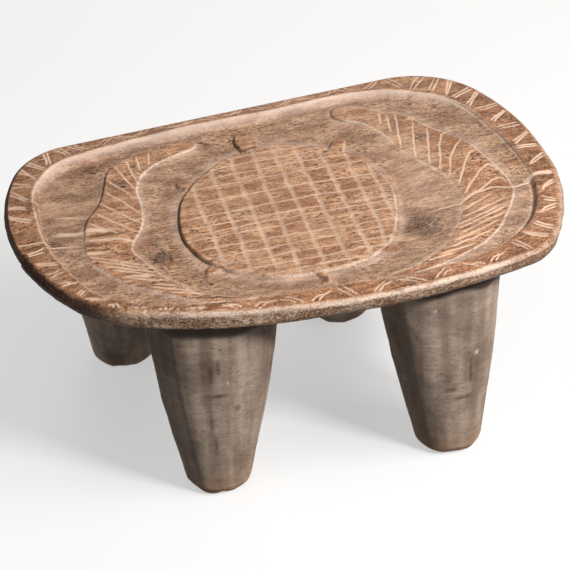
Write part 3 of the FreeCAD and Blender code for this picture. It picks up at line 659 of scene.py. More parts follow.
# %% Ribs of the crescents
RIGHT_RIBS = [
    ((118, 105), (115, 88)), ((124, 99), (120, 71)), ((132, 98), (122.5, 45)), ((144, 84), (131, 25)),
    ((154, 69), (141, 12)), ((169, 56), (164, 54), (157, 36), (147, -1)),
    ((177.5, 38.5), (170.5, 32), (162, 17), (153, -9)),
    ((187, 19.5), (179, 17.5), (170, 0.5), (155.5, -28)),
    ((195, -15), (191, -5), (181, -11.5), (168, -27.5), (157, -42)),
    ((197, -37), (196, -28.5), (188.5, -28), (173.5, -40), (158, -46)), ((149, -64.5), (181, -47.5)),
    ((144.5, -76), (190, -59)), ((139.5, -84), (191, -66)), ((136, -91), (188, -71)),
    ((135, -98), (183, -79)), ((127.5, -108), (176, -89)), ((120, -115), (164, -102)),
    ((110.5, -122.5), (144, -115.5)), ((98, -128), (122, -124))]
LEFT_RIBS = [
    ((-101, 103), (-104.5, 86)), ((-113, 101.5), (-114, 78.5)), ((-123, 99), (-120.5, 61.5)),
    ((-135, 90.5), (-124, 50.5)), ((-145.5, 71), (-125, 35)), ((-150.5, 55.5), (-126.5, 13)),
    ((-158, 37), (-129, -1.5)), ((-164, 22.5), (-135, -13.5)), ((-173, 10), (-146, -16)),
    ((-181, -40), (-137, -64.5)), ((-176, -47.5), (-135, -70.5)), ((-172.5, -55), (-132.5, -76.5)),
    ((-166, -63), (-130, -82.5)), ((-159, -76.5), (-124, -91)), ((-152, -86), (-118, -101)),
    ((-140, -96), (-108, -112)), ((-126, -108), (-98, -119))]
for ribs, name in ((RIGHT_RIBS, "right_crescent"), (LEFT_RIBS, "left_crescent")):
    for rib in ribs:
        cut(rib, 2.4, 0.9, apart[name] < 0.6, 0.68)
print("ribs", len(RIGHT_RIBS), len(LEFT_RIBS))

# %% Pairs of cuts round the rim
# At the ends a slanting pair follows a level one, and along the front and the
# back the pairs lean both ways in turn
bare, pairs, s = 0, 0, 4.0
while s < PERIMETER - 6:
    here = edge_at([s], 0.0)[0][0]
    end_share = ease(abs(here[0]), 150, 215)
    reach_in = np.arange(6.0, 40.0, 0.5)
    inward = edge_at(np.full(len(reach_in), s), reach_in)[0]
    wide_here = reach_in[np.argmax(outside_of(crest_loop, *inward.T) < 0)]
    slanted = pairs % 2 == 1
    end_lean = -math.copysign(14.0, here[0]) if slanted else 1.5
    long_lean = 13.0 if slanted else -13.0
    lean = end_share * end_lean + (1 - end_share) * long_lean + knife.normal(0, 1.8)
    cracked = here[0] < -200 and -24 < here[1] < 22
    gap = 2.0 + 1.1 * (1 - end_share)
    starts_at = 3.5 + (CHIP_WIDE - 3.0) * chipped(*here)
    for twin in (-gap, gap):
        along_edge = s + twin + np.array([-lean / 2, 0, lean / 2]) + knife.normal(0, 0.7, 3)
        ends_at = np.array([starts_at + 1.5 * knife.uniform(), 0.5 * (starts_at + wide_here),
                            wide_here - 2.5 - 4.0 * knife.uniform()])
        line = edge_at(along_edge, ends_at)[0]
        strength = 0.75 + 0.25 * knife.uniform()
        if not cracked:
            cut(line, 1.4 + 0.8 * end_share, 0.7, None, strength, 0.3)
    bare += cracked
    pairs += 1
    s += (24.0 - 4.5 * end_share) * (1 + 0.12 * knife.normal())
print("pairs of cuts on the rim", pairs - bare)

# %% [markdown]
# ## Cracks and tool marks
# The block dried unevenly and split along its grain, which runs from end to
# end: a bundle of ragged splits at the left and one long hairline at the right.
# The adze left low scallops everywhere. They are too fine to see one by one but
# they break up the light.

# %% Splits along the grain and their slivers
def split(points, wide, deep):
    """A dark gap along the grain."""
    before = groove.copy()
    cut(points, wide, deep, None, 1.0, 0.8)
    dark_breaks_and_painted_shade[:] = np.maximum(dark_breaks_and_painted_shade, np.where(groove > before, groove, 0))
    groove[:] = before


def sliver(points, wide, high):
    """A lifted pale flake beside a gap."""
    cut(points, wide, -high, None, 0.75, 0.6)


CRACKS = [
    (split, [(-246, -2), (-228, -6), (-212, -9), (-198, -12)], 2.2, 1.8),
    (sliver, [(-244, -5), (-226, -9), (-206, -13), (-194, -16)], 2.6, 0.4),
    (split, [(-219, -3), (-203, -8)], 1.8, 1.0),
    (split, [(-240, -14), (-220, -13), (-200, -17)], 1.7, 1.0),
    (sliver, [(-207, 6), (-190, 1), (-172, -1), (-152, -5)], 6.5, 0.7),
    (split, [(-181, -8), (-172, -8), (-160, -9), (-148, -12)], 4.6, 2.2),
    (sliver, [(-181, -15), (-165, -17), (-150, -20), (-142, -26)], 4.2, 0.6),
    (split, [(-192, -20), (-178, -23), (-160, -25), (-148, -27)], 2.0, 1.5),
    (split, [(-186, -28), (-174, -30), (-164, -33)], 3.0, 1.6),
    (sliver, [(-187, -33), (-178, -35), (-168, -36)], 3.6, 0.5),
    (split, [(-172, -36), (-160, -40), (-147, -46)], 1.8, 1.0),
    (sliver, [(-201, 31), (-190, 29), (-180, 26)], 2.0, 0.2),
    (split, [(-160, -84), (-146, -88), (-132, -92)], 2.0, 0.9),
    (sliver, [(-160, -76), (-150, -77), (-138, -81)], 3.6, 0.4),
    (sliver, [(118, -56), (149, -54), (164, -45), (183, -40), (199, -46), (212, -43), (222, -37),
     (232, -35)], 2.4, 0.2),
    (split, [(149, -56), (164, -47), (183, -42), (199, -48), (216, -43)], 1.4, 0.8),
    (sliver, [(214, -39), (224, -35), (234, -33), (244, -33)], 5.0, 0.3),
    (split, [(-57, 112), (-51, 110), (-44, 105)], 3.4, 1.2),
    (split, [(86, 102), (77, 107), (74, 114), (75, 121), (80, 126.5), (89, 127.5)], 2.2, 0.8),
    (split, [(-112, -121), (-92, -126), (-72, -131), (-58, -134)], 1.8, 0.6)]
for mark, points, wide, deep in CRACKS:
    mark(points, wide, deep)
print("splits and slivers", len(CRACKS))

# %% Knots and scallops
# Each knot: its place and its size
KNOTS = ((110, -72, 18), (-125, -53, 14), (142, 56, 7), (-138, 62, 8), (-158, 98, 8))
knot = np.zeros(len(top))
for knot_x, knot_y, size in KNOTS:
    knot = np.maximum(knot, np.exp(-((x - knot_x) ** 2 + 1.6 * (y - knot_y) ** 2) / size ** 2))

scallops = 0.20 * uneven(21, 9, x * 0.45, y) + 0.12 * uneven(22, 3.5, x * 0.4, y)
height += scallops * (1 - 0.4 * on_rim)
print("deepest point", height.min().round(2))

# %% [markdown]
# ## The whole seat
# The top is now a set of heights. The rounded edge, the rough side and the
# underside follow as rings of points, each a little further out or lower than
# the last, hung on the border of the top. At the end the whole seat is warped
# a little: its ends lift and its outline wavers, as hewn work does.

# %% Sizes of the edge and the side
EDGE_ROUND = 4.0
LOWER_ROUND_LEFT, LOWER_ROUND_FRONT, LOWER_ROUND_RIGHT = 15.0, 4.0, 10.0
RIGHT_BULGE = 3.5
THICK = CREST - UNDERSIDE
# Where each ring lies: in from the edge, as a share of the side, round the
# lower edge, and in from the edge underneath
EDGE_RINGS = (3.3, 2.6, 1.9, 1.3, 0.8, 0.4, 0.12)
SIDE_RINGS = (0.2, 0.4, 0.6, 0.8, 1.0)
LOWER_TURNS = np.radians((12, 24, 36, 48, 60, 74, 90))
UNDER_RINGS = (16.0, 26.0, 42.0)


def edge_fall(at_x, at_y, inset_mm):
    """How far the edge has fallen: a small round, and a broken slope at the left."""
    left_over = np.clip(EDGE_ROUND - inset_mm, 0, EDGE_ROUND)
    rounded = EDGE_ROUND - np.sqrt(np.maximum(EDGE_ROUND ** 2 - left_over ** 2, 0))
    return rounded + CHIP_DEEP * chipped(at_x, at_y) * ease(CHIP_WIDE - inset_mm, 0, CHIP_WIDE)


print("thickness", round(THICK, 1), "mm")

# %% Rings over the edge, down the side and in underneath
height -= edge_fall(x, y, inset)
band_at_border = BORDER / np.maximum(across_rim[border], 0.05)
border_x, border_y = top[border].T
lower_round = np.interp(border_x, (-215, -140, -80, 10),
                        (LOWER_ROUND_LEFT, LOWER_ROUND_FRONT, LOWER_ROUND_FRONT, LOWER_ROUND_RIGHT))
bulge = RIGHT_BULGE * ease(border_x, 205, 238) * ease(-border_y, -20, 20)
rings = []
for inset_mm in EDGE_RINGS:
    level = -RIM_DROP * (1 - inset_mm / band_at_border) - edge_fall(border_x, border_y, inset_mm)
    rings.append((inset_mm, level))
edge_foot = rings[-1][1]
for share in SIDE_RINGS:
    rings.append((0.0, edge_foot + (lower_round - THICK - edge_foot) * share))
for turn in LOWER_TURNS:
    rings.append((lower_round * (1 - math.cos(turn)), lower_round * (1 - math.sin(turn)) - THICK))
for inset_mm in UNDER_RINGS:
    rings.append((inset_mm, -THICK + 0 * band_at_border))
print("rings of the edge and the side", len(rings))

# %% Points of the rings
side_points, side_heights, side_share = [], [], []
for inset_mm, level in rings:
    place, out = edge_at(border_s, inset_mm)
    rough = 0.40 * uneven(31, 16, border_s, 7 * level) + 0.25 * uneven(32, 5, border_s, 5 * level)
    fade = ease(-level, 5.0, 8.0) * np.where(np.asarray(inset_mm) < 12, 1, 0)
    swell = bulge * line_at(level + 11, 6.0)
    side_points.append(place + out * (rough * fade + swell)[:, None])
    side_heights.append(level)
    side_share.append(ease(-level, 4.5, 8.0))
INNER = 12
inner_edge = side_points[-1]
for k in range(1, INNER):
    side_points.append(inner_edge * (1 - k / INNER))
    side_heights.append(-THICK + 0.5 * uneven(33, 30, *side_points[-1].T))
    side_share.append(np.ones(len(border)))
print("rings below the top", len(side_points))

# %% One closed skin
def strip(ring, other):
    """Four-sided faces between two rings of points."""
    return np.stack([ring, np.roll(ring, -1), np.roll(other, -1), other], axis=1)


def fan(ring, hub):
    """Three-sided faces from a ring to a point."""
    return np.stack([ring, np.roll(ring, -1), np.full(len(ring), hub)], axis=1)


ring_size = len(border)
all_xy = np.concatenate([top] + side_points + [np.zeros((1, 2))])
all_z = np.concatenate([height] + side_heights + [[-THICK]])
loops = [border] + [len(top) + ring_size * k + np.arange(ring_size) for k in range(len(side_points))]
side_faces = [strip(outer, lower)[:, ::-1] for outer, lower in zip(loops, loops[1:])]
under_faces = fan(loops[-1], len(all_xy) - 1)[:, ::-1]
faces = [face for part in [top_faces, *side_faces, under_faces] for face in part.tolist()]
print("points", len(all_xy), "faces", len(faces))

# %% Warp of the seat, and meshes from points
END_LIFT, MIDDLE_SAG = 0.8, 0.3


def warp(xy, z):
    """Hewn work: wavering in plan, ends a little higher than the middle."""
    px, py = xy[:, 0], xy[:, 1]
    nick = 3.0 * line_at(py + 21, 1.8) * ease(-px, 232, 246)
    return np.stack([px + 0.5 * uneven(41, 80, px, py) + nick, py + 0.5 * uneven(42, 95, px, py),
                     z + END_LIFT * (px / HALF_LONG) ** 2 - MIDDLE_SAG], axis=1)


seat_points = warp(all_xy, CREST + all_z)


def build(name, points_mm, faces, marks):
    """A mesh object in metres with smooth faces and named marks per point."""
    mesh = bpy.data.meshes.new(name)
    mesh.from_pydata([tuple(p) for p in points_mm / 1000], [], faces)
    mesh.polygons.foreach_set("use_smooth", np.ones(len(mesh.polygons), bool))
    for mark, values in marks.items():
        layer = mesh.attributes.new(mark, "FLOAT", "POINT")
        layer.data.foreach_set("value", np.asarray(values, np.float32))
    mesh.update()
    return add(name, mesh)


def with_side(values):
    """Marks of the top, followed by 0 for all the side points."""
    return np.concatenate([values, np.zeros(len(seat_points) - len(top))])


print("highest point", seat_points[:, 2].max().round(1))

# %% Marks of wear and the finished seat
# The field between the shell and the right crescent is rubbed as well
rubbed_field = 0.8 * np.exp(-((x - 122) / 30) ** 2 - ((y - 5) / 60) ** 2)
worn = np.maximum(np.maximum(on_rim, on_figure), rubbed_field)
dust_and_painted_highlight = np.maximum(dust_and_painted_highlight, 0.35 * rubbed_field)
side_mark = np.concatenate([np.zeros(len(top))] + side_share + [[1.0]])
pale_wear_and_highlight_mark = with_side(pale_wear_and_highlight)
# A pale band follows the edge, and two nicks cross it in front
NICKS, BAND_RINGS = (-152, -58), 11
band_ends = ease(border_x, -190, -110) * (1 - 0.7 * ease(border_x, 150, 215))
nicks = sum(line_at(border_x - at_x, 1.3) for at_x in NICKS) * (border_y < 0)
lower_line = 7.0 + 1.2 * uneven(52, 20, border_s)
for loop, (inset_mm, level) in zip(loops[1:], rings[:BAND_RINGS]):
    below = ease(-level, lower_line, lower_line + 1.5)
    pale_wear_and_highlight_mark[loop] = np.maximum(band_ends * ease(3.0 - inset_mm, 0, 2) * (1 - below), nicks)
# The broken slope at the left front is darkened
broken = chipped(x, y) * ease(CHIP_WIDE - 1.0 - inset + 1.5 * uneven(53, 9, x, y), 0, 2)
dark_breaks_and_painted_shade_mark = with_side(np.maximum(dark_breaks_and_painted_shade, 1.3 * broken))
# Painted shade: the side and the underside darkened at the left end, which faces away from the lamps
dark_breaks_and_painted_shade_mark[len(top):] = 1.3 * ease(-seat_points[len(top):, 0], 150, 210)
near_corner = ease(x, 165, 215) * ease(-y, 55, 95)
# The rim takes the darker rubbed colour, more at the right end and along the front, less near the front
# right corner and at the back
darker_rim = on_rim * (1 + 0.6 * np.maximum(ease(x, 150, 215), ease(-y, 95, 130))
                       - near_corner - 0.6 * ease(y, 95, 125))
worn_mark = with_side(worn)
worn_mark[len(top):] = 1 - side_mark[len(top):]
seat = build("seat_carved", seat_points, faces,
             {"worn": worn_mark, "groove": with_side(groove), "edge": pale_wear_and_highlight_mark,
              "dust_and_painted_highlight": with_side(dust_and_painted_highlight), "dark_breaks_and_painted_shade": dark_breaks_and_painted_shade_mark, "rim": with_side(darker_rim),
              "side": side_mark, "knot": with_side(knot)})
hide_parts("seat")
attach(seat, "root")
print("seat faces", len(faces))

# %% [markdown]
# ## Legs
# Each leg is a thick post that tapers to a worn foot, hewn in long flat strokes
# from top to bottom. A soft rounded section is cut back by about a dozen flats,
# each with its own depth and a little drift, so the facets widen, narrow and
# fade as they do under an adze.

# %% Sizes and marks of the legs
LEG_TOP = UNDERSIDE
AROUND, LEVELS = 168, 108
FOOT_HALF = (29.5, 30.0)
TOP_DEPTH_HALF = 52.0
SWELL_AT, SWELL_SHARE = 0.47, 0.53
FOOT_WEAR_UP, FOOT_WEAR_IN = 9.0, 4.5
# Each leg: middle of its top along x and y, half its width there, and how far
# its foot stands out along x and y
LEGS = {
    "leg_front_left": (-89.0, -86.6, 63.0, -4.5, -15.0),
    "leg_front_right": (113.0, -92.0, 57.5, 7.5, -15.0),
    "leg_rear_left": (-134.0, 82.0, 59.0, -6.0, 19.0),
    "leg_rear_right": (69.0, 89.0, 59.0, 6.0, 19.0),
}
# How square the section is at the foot, at the top and where the flats touch it
FOOT_POWER, TOP_POWER, FLAT_POWER = 2.1, 2.7, 1.6
# The flats: how many, how deep, how far that varies, and how far they drift
FLATS, FLAT_DEPTH, FLAT_VARIES, FLAT_DRIFTS = 12, 0.985, 0.012, 0.10
# The front legs have one broad flat on the left, cut deeper than the others
LEFT_FLAT, LEFT_TURN = 7, math.radians(207)
LEFT_DEPTH = {"leg_front_left": 0.92, "leg_front_right": 0.955}
# Marks on the fronts of the legs: place along x, height, half width, half height
# The last mark on the front left leg, low at its foot, is a painted shadow
STAINS_AND_PAINTED_SHADOW = {
    "leg_front_left": [(-79.5, 101, 3.0, 3.0), (-98.5, 119, 11, 2.4), (-95, 151, 1.9, 9),
                       (-102, 142, 1.9, 9), (-103, 87, 2.0, 10), (-100, 62, 1.9, 9), (-114, 2, 13, 6)],
    "leg_front_right": [(132, 98, 1.3, 15), (126, 69, 9, 2.2), (113, 80, 6, 2.2)]}
# Height from which a front leg is painted darker, as painted shade under the seat
PAINTED_SHADE_FROM = {"leg_front_left": 182.0, "leg_front_right": 187.0}
PALE_CHIPS = {"leg_front_left": [(-87.3, 132, 1.1, 1.1)],
              "leg_front_right": [(137.8, 118, 1.7, 2.1), (98.5, 173, 1.2, 1.4)]}
print("leg tops at", LEG_TOP, "mm")


# %% Section of a leg, and spots on its front
def round_section(half_x, half_y, turn, power):
    """The two parts of a rounded section's outline at a turn, to a power."""
    return np.abs(half_x * np.cos(turn)) ** power + np.abs(half_y * np.sin(turn)) ** power


def leg_section(share, turn, half_width):
    """Half sizes of a leg at a share of its height, and its rounded outline."""
    lower = SWELL_SHARE * share / SWELL_AT
    upper = SWELL_SHARE + (1 - SWELL_SHARE) * (share - SWELL_AT) / (1 - SWELL_AT)
    taper = np.where(share < SWELL_AT, lower, upper)
    taper = taper + 0.035 * np.sin(np.pi * np.clip(share, 0, 1))
    half_x = FOOT_HALF[0] + (half_width - FOOT_HALF[0]) * taper
    half_y = FOOT_HALF[1] + (TOP_DEPTH_HALF - FOOT_HALF[1]) * taper
    power = FOOT_POWER + (TOP_POWER - FOOT_POWER) * share
    return half_x, half_y, round_section(1 / half_x, 1 / half_y, turn, power) ** (-1 / power)


def spots(places, px, zz, in_front):
    """Soft square spots on the front of a leg."""
    found = np.zeros(zz.shape)
    for at_x, at_z, wide, tall in places:
        near = np.exp(-((px - at_x) / wide) ** 4 - ((zz - at_z) / tall) ** 4)
        found = np.maximum(found, near * in_front)
    return found.reshape(-1)


print("spots", sum(len(places) for places in [*STAINS_AND_PAINTED_SHADOW.values(), *PALE_CHIPS.values()]))

# %% One hewn leg
def hewn_leg(name, seed, middle_x, middle_y, half_width, splay_x, splay_y):
    """Points and marks of one leg, from a ring at the floor to one inside the seat."""
    dice = np.random.default_rng(seed)
    z = np.concatenate([np.linspace(0, 12, 14), np.linspace(14, LEG_TOP + 4, LEVELS - 14)])
    theta = np.arange(AROUND) * 2 * np.pi / AROUND
    zz, tt = np.meshgrid(z, theta, indexing="ij")
    share = np.clip(zz / LEG_TOP, 0, 1.05)
    half_x, half_y, full = leg_section(share, tt, half_width)
    facet_edge, left_flat, nearest_flat = (np.full(zz.shape, FAR) for k in range(3))
    for k in range(FLATS):
        mid = (k + 0.25 * dice.normal()) * 2 * np.pi / FLATS + FLAT_DRIFTS * uneven(seed + 200 + k, 70, zz)
        depth = FLAT_DEPTH + FLAT_VARIES * (dice.normal() + uneven(seed + 100 + k, 45, zz))
        if k == LEFT_FLAT and name in LEFT_DEPTH:
            mid, depth = LEFT_TURN, LEFT_DEPTH[name]
        support = round_section(half_x, half_y, mid, FLAT_POWER) ** (1 / FLAT_POWER)
        turn = np.cos(tt - mid)
        flat = np.where(turn > 0.3, support * depth / np.maximum(turn, 0.3), FAR)
        facet_edge = np.where(flat < nearest_flat, nearest_flat - flat,
                              np.minimum(facet_edge, flat - nearest_flat))
        if k == LEFT_FLAT and name in LEFT_DEPTH:
            left_flat = flat
        nearest_flat = np.minimum(nearest_flat, flat)
    radius = soft_low(full, np.minimum(nearest_flat, full + 50), 1.2)
    arc = tt * 45
    radius = radius + 0.35 * uneven(seed + 1, 11, arc, zz * 0.6) + 0.16 * uneven(seed + 2, 4, arc * 0.8, zz)
    wear = np.clip(1 - zz / FOOT_WEAR_UP, 0, 1) ** 2
    radius = radius - FOOT_WEAR_IN * wear * (1 + 0.3 * uneven(seed + 3, 14, arc, zz))
    lean = np.clip(1 - share, 0, 1)
    px = middle_x + splay_x * lean + radius * np.cos(tt)
    py = middle_y + splay_y * lean + radius * np.sin(tt)
    points = np.stack([px, py, zz], axis=2).reshape(-1, 3)
    ridge = np.exp(-facet_edge / 1.2).reshape(-1)
    foot = np.exp(-zz / 13.0).reshape(-1) * (0.3 if middle_y > 0 else 1.0)
    # Painted shade: darker from a height under the seat on each front leg, and on its broad left flat
    painted_shade_from = PAINTED_SHADE_FROM.get(name, 2 * LEG_TOP) + 3 * uneven(seed + 4, 20, arc)
    painted_shade = ease(zz, painted_shade_from - 2, painted_shade_from + 4)
    painted_shade = np.maximum(painted_shade, 0.55 * ease(nearest_flat - left_flat, -1.5, 0.5))
    in_front = py < middle_y
    return points, {"edge": ridge, "foot": foot, "painted_shade": painted_shade.reshape(-1),
                    "stain_and_painted_shadow": spots(STAINS_AND_PAINTED_SHADOW.get(name, ()), px, zz, in_front),
                    "chip": spots(PALE_CHIPS.get(name, ()), px, zz, in_front)}


print("levels and points round a leg", LEVELS, AROUND)

# %% Four legs
def ring_of(level):
    """The points of one level of a leg."""
    return level * AROUND + np.arange(AROUND)


legs = []
for seed, (name, sizes) in enumerate(LEGS.items(), start=60):
    points, marks = hewn_leg(name, seed * 10, *sizes)
    faces = [face for k in range(LEVELS - 1) for face in strip(ring_of(k), ring_of(k + 1)).tolist()]
    # Close the foot and the hidden top with shrinking rings
    caps = np.zeros((0, 3))
    for ring, way_round in ((ring_of(0), -1), (ring_of(LEVELS - 1), 1)):
        middle = points[ring].mean(0)
        before = ring
        for shrink in (0.75, 0.5, 0.25):
            fresh = len(points) + len(caps) + np.arange(AROUND)
            caps = np.concatenate([caps, middle + (points[ring] - middle) * shrink])
            faces += strip(before, fresh)[:, ::way_round].tolist()
            before = fresh
        faces += fan(before, len(points) + len(caps))[:, ::way_round].tolist()
        caps = np.concatenate([caps, middle[None]])
    for mark, values in marks.items():
        marks[mark] = np.concatenate([values, np.full(len(caps), float(mark == "foot"))])
    leg = build(name + "_hewn", np.concatenate([points, caps]), faces, marks)
    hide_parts(name)
    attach(leg, "root")
    legs.append(leg)
print("legs", [leg.name for leg in legs])

# %% [markdown]
# ## Writing shader maths as sums
# A material in Blender is a graph of small nodes. Wiring dozens of Math nodes by
# hand hides the idea, so one small class wraps a socket and lets Python's own
# signs add the nodes: `1 - mask` becomes a Math node by itself. Every other kind
# of node goes through one method.

# %% A socket that can be added and multiplied
class Wire:
    """One output of a node, with sums that add Math nodes."""

    def __init__(self, tree, socket):
        self.tree = tree
        self.socket = socket

    def node(self, kind, settings=None, sockets=None, out=0):
        """Any node: its type, its settings, and the values or links of its sockets."""
        made = self.tree.nodes.new(kind)
        for key, setting in (settings or {}).items():
            setattr(made, key, setting)
        for key, given in (sockets or {}).items():
            target = made.inputs[key]
            if isinstance(given, Wire):
                self.tree.links.new(given.socket, target)
            else:
                target.default_value = given
        return Wire(self.tree, made.outputs[out])

    def maths(self, operation, *items):
        return self.node("ShaderNodeMath", {"operation": operation}, dict(enumerate(items)))

    def __add__(self, other):
        return self.maths("ADD", self, other)

    __radd__ = __add__

    def __mul__(self, other):
        return self.maths("MULTIPLY", self, other)

    __rmul__ = __mul__

    def __sub__(self, other):
        return self.maths("SUBTRACT", self, other)

    def __rsub__(self, other):
        return self.maths("SUBTRACT", other, self)

    def clamp(self):
        """Nothing below 0 or above 1."""
        return self.node("ShaderNodeClamp", None, {"Value": self})

    def between(self, low, high):
        """0 at low, 1 at high, with a soft step between."""
        return self.node("ShaderNodeMapRange", {"interpolation_type": "SMOOTHSTEP"},
                         {"Value": self, "From Min": low, "From Max": high})

    def tint(self, low, high):
        """A colour between two, by this value."""
        return self.node("ShaderNodeMix", {"data_type": "RGBA"}, {0: self, 6: low, 7: high}, 2)

    def shade(self, colour, amount):
        """A colour multiplied towards another by amount."""
        return self.node("ShaderNodeMix", {"data_type": "RGBA", "blend_type": "MULTIPLY"},
                         {0: amount, 6: self, 7: colour}, 2)


print("signs that add nodes: + - *")

# %% Colours as light
def paint(red, green, blue):
    """A colour as it is seen on a screen, from 0 to 255, as light."""
    light = []
    for part in (red / 255, green / 255, blue / 255):
        light.append(part / 12.92 if part <= 0.04045 else ((part + 0.055) / 1.055) ** 2.4)
    return (*light, 1.0)


print("middle grey as light", round(paint(128, 128, 128)[0], 3))

# %% A material to start from
class Finish:
    """A material with the wires that every wood surface starts from."""

    def __init__(self, name):
        self.material = bpy.data.materials.new(name)
        self.material.use_nodes = True
        tree = self.material.node_tree
        self.shader = tree.nodes["Principled BSDF"]
        self.start = Wire(tree, None)
        self.place = self.start.node("ShaderNodeTexCoord", None, None, 3)

    def mark(self, name):
        """A value stored on the mesh by the carving."""
        return self.start.node("ShaderNodeAttribute", {"attribute_name": name}, None, 2)

    def noise(self, stretch, scale, detail, rough):
        """A cloudy pattern, drawn out along each axis where a stretch is given."""
        where = self.place
        if stretch:
            where = self.start.node("ShaderNodeVectorMath", {"operation": "MULTIPLY"},
                                    {0: where, 1: stretch})
        return self.start.node("ShaderNodeTexNoise", None,
                               {"Vector": where, "Scale": scale, "Detail": detail, "Roughness": rough})

    def feed(self, socket, wire):
        """Lead a wire into the shader."""
        self.shader.id_data.links.new(wire.socket, self.shader.inputs[socket])

    def relief(self, amount, distance):
        """Fine bumps that catch the light."""
        bump = self.start.node("ShaderNodeBump", None,
                               {"Strength": 0.9, "Distance": distance, "Height": amount})
        self.feed("Normal", bump)


print("shader tools ready")

# %% [markdown]
# ## The wood of the seat
# Under the dust the wood is a warm orange brown. Where hands and clothes rub,
# on the rim, the shell and the crescents, that warm colour shows. The sunk
# field keeps a grey brown skin of dust. Cuts and rubbed edges are pale, and
# edges and slopes that face the lamps are painted paler as highlight. Dark
# lines along the right walls, beside the figures and at the left end are
# painted shade, and fine dark flecks follow the grain from end to end. The
# marks stored by the carving say where each of these belongs.

# %% Seat patterns and marks
seat_wood = Finish("worn_carved_wood")
grain = seat_wood.noise((0.25, 1.0, 1.0), 680.0, 3.0, 0.6)
streak = seat_wood.noise((0.22, 1.0, 1.0), 170.0, 4.0, 0.6)
fleck = seat_wood.noise((0.5, 1.0, 1.0), 460.0, 3.0, 0.65)
speck = seat_wood.noise(None, 520.0, 2.0, 0.6)
blotch = seat_wood.noise((0.55, 1.0, 1.0), 60.0, 4.0, 0.6)
cloud = seat_wood.noise(None, 13.0, 3.0, 0.5)
worn_wire, groove_wire, pale_wear_and_highlight_wire, dust_and_painted_highlight_wire = (
    seat_wood.mark(name) for name in ("worn", "groove", "edge", "dust_and_painted_highlight"))
dark_breaks_and_painted_shade_wire, side_wire, knot_wire, rim_wire = (
    seat_wood.mark(name) for name in ("dark_breaks_and_painted_shade", "side", "knot", "rim"))
print("marks on the seat", [layer.name for layer in seat.data.attributes if layer.data_type == "FLOAT"])

# %% Seat colours
dusty = (0.6 * blotch + 0.4 * streak).between(0.38, 0.62).tint(paint(140, 106, 82), paint(197, 159, 129))
warm = (0.5 * blotch + 0.5 * streak).between(0.39, 0.61).tint(paint(155, 101, 65), paint(208, 160, 120))
patchy = (worn_wire * (0.5 + 0.6 * cloud) + 0.5 * cloud.between(0.52, 0.68)).clamp()
wood = patchy.tint(dusty, warm)
rubbed = (0.4 * blotch + 0.6 * streak).between(0.38, 0.62).tint(paint(116, 72, 44), paint(182, 130, 92))
wood = (rim_wire * (0.35 + 0.8 * blotch)).clamp().tint(wood, rubbed)
rough_side = (0.5 * blotch + 0.5 * speck).between(0.40, 0.60)
rough_side = rough_side.tint(paint(136, 100, 74), paint(222, 190, 162))
wood = side_wire.tint(wood, rough_side)
thick = 0.15 + blotch.between(0.36, 0.60) * cloud.between(0.30, 0.62) + 1.4 * knot_wire
flecked = (fleck.between(0.50, 0.62) * thick * (1 - dust_and_painted_highlight_wire)).clamp()
wood = wood.shade(paint(86, 58, 44), flecked * 0.9)
wood = wood.shade(paint(84, 54, 42), (knot_wire * (0.2 + speck.between(0.42, 0.56))).clamp() * 0.95)
wood = wood.shade(paint(150, 116, 94), grain.between(0.46, 0.64) * 0.6)
wood = (speck.between(0.54, 0.70) * 0.4).tint(wood, paint(220, 196, 176))
# Dust, with painted highlight on the back wall and on the slopes towards the lamps
wood = (dust_and_painted_highlight_wire * (0.2 + 0.5 * streak + 0.5 * blotch)).clamp().tint(wood, paint(218, 194, 180))
rubbed_off = (0.5 * streak + 0.5 * speck).between(0.42, 0.57)
# Pale worn edges, with painted highlight where edges face the lamps and at the foot of the right walls
wood = (pale_wear_and_highlight_wire * (0.4 + 0.65 * rubbed_off)).clamp().tint(wood, paint(226, 202, 184))
wood = (groove_wire * (0.75 + 0.6 * cloud + 0.2 * fleck)).clamp().tint(wood, paint(228, 198, 174))
# Dark splits and breaks, and painted shade along the right walls, beside the figures and at the left end
wood = wood.shade(paint(70, 48, 38), (dark_breaks_and_painted_shade_wire * (0.7 + 0.4 * cloud)).clamp() * 0.9)
seat_wood.feed("Base Color", wood)
seat_wood.feed("Roughness", 0.60 + 0.22 * grain - 0.10 * worn_wire)
seat_wood.relief(0.5 * grain + 0.7 * fleck + 0.5 * streak + 0.5 * side_wire * speck, 0.0008)
seat_wood.shader.inputs["Specular IOR Level"].default_value = 0.35
seat.data.materials.append(seat_wood.material)
print("seat finish", seat_wood.material.name)

# %% [markdown]
# ## The wood of the legs
# The legs were never rubbed, so they are grey brown and dusty all over, with
# fine grain lines that run level, because the grain of the block runs from end
# to end of the seat. The ridges between the flats are a little paler, the feet
# are scuffed back to orange brown, and painted shade darkens the front legs
# under the seat and on their broad left flats.

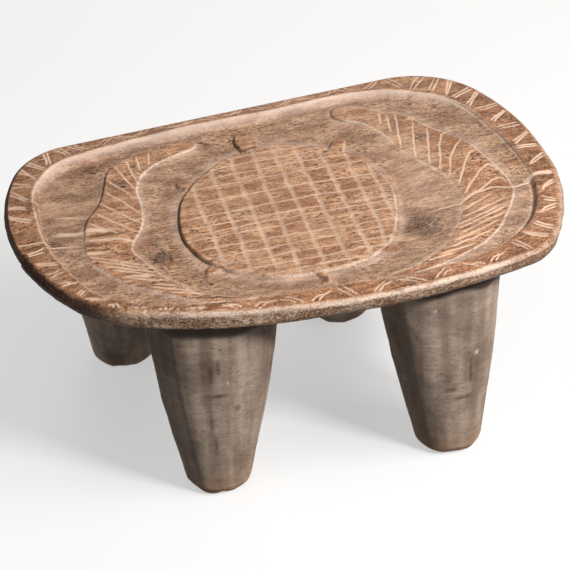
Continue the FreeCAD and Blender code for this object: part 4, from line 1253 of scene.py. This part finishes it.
# %% Leg finish
leg_wood = Finish("hewn_leg_wood")
lines = leg_wood.noise((0.16, 0.16, 1.0), 1000.0, 3.0, 0.6)
bands = leg_wood.noise((0.25, 0.25, 1.0), 110.0, 4.0, 0.6)
haze = leg_wood.noise(None, 16.0, 3.0, 0.5)
specks = leg_wood.noise((0.6, 0.6, 1.0), 480.0, 2.0, 0.6)
ridge_wire = leg_wood.mark("edge")
foot_wire = leg_wood.mark("foot")
strokes = leg_wood.noise((1.0, 1.0, 0.08), 75.0, 3.0, 0.5)
uneven_skin = (0.25 * haze + 0.2 * bands + 0.55 * strokes).between(0.36, 0.64)
skin = uneven_skin.tint(paint(148, 128, 113), paint(207, 185, 166))
skin = skin.shade(paint(120, 92, 78), (1 - haze).between(0.52, 0.68) * 0.5)
skin = skin.shade(paint(150, 128, 114), lines.between(0.44, 0.64) * 0.32)
skin = skin.shade(paint(84, 66, 56), specks.between(0.60, 0.70) * 0.5)
skin = (lines.between(0.58, 0.70) * 0.25).tint(skin, paint(192, 174, 156))
skin = (ridge_wire * (0.05 + 0.3 * haze)).clamp().tint(skin, paint(186, 166, 148))
scuffed = (foot_wire * (0.4 + 0.9 * bands)).clamp()
skin = scuffed.tint(skin, paint(206, 158, 122))
blotted = 0.6 + 0.5 * (0.5 * specks + 0.5 * strokes).between(0.40, 0.58)
# Stains, and one painted shadow at the foot of the front left leg
skin = skin.shade(paint(66, 48, 42), (leg_wood.mark("stain_and_painted_shadow") * blotted).clamp() * 0.65)
# Painted shade under the seat and on the broad left flats of the front legs
skin = skin.shade(paint(78, 62, 56), leg_wood.mark("painted_shade") * 0.9)
skin = leg_wood.mark("chip").tint(skin, paint(238, 228, 216))
leg_wood.feed("Base Color", skin)
leg_wood.feed("Roughness", 0.66 + 0.2 * lines)
leg_wood.relief(0.6 * lines + 0.4 * bands + 0.4 * specks, 0.0005)
leg_wood.shader.inputs["Specular IOR Level"].default_value = 0.3
for leg in legs:
    leg.data.materials.append(leg_wood.material)
print("leg finish on", len(legs), "legs")
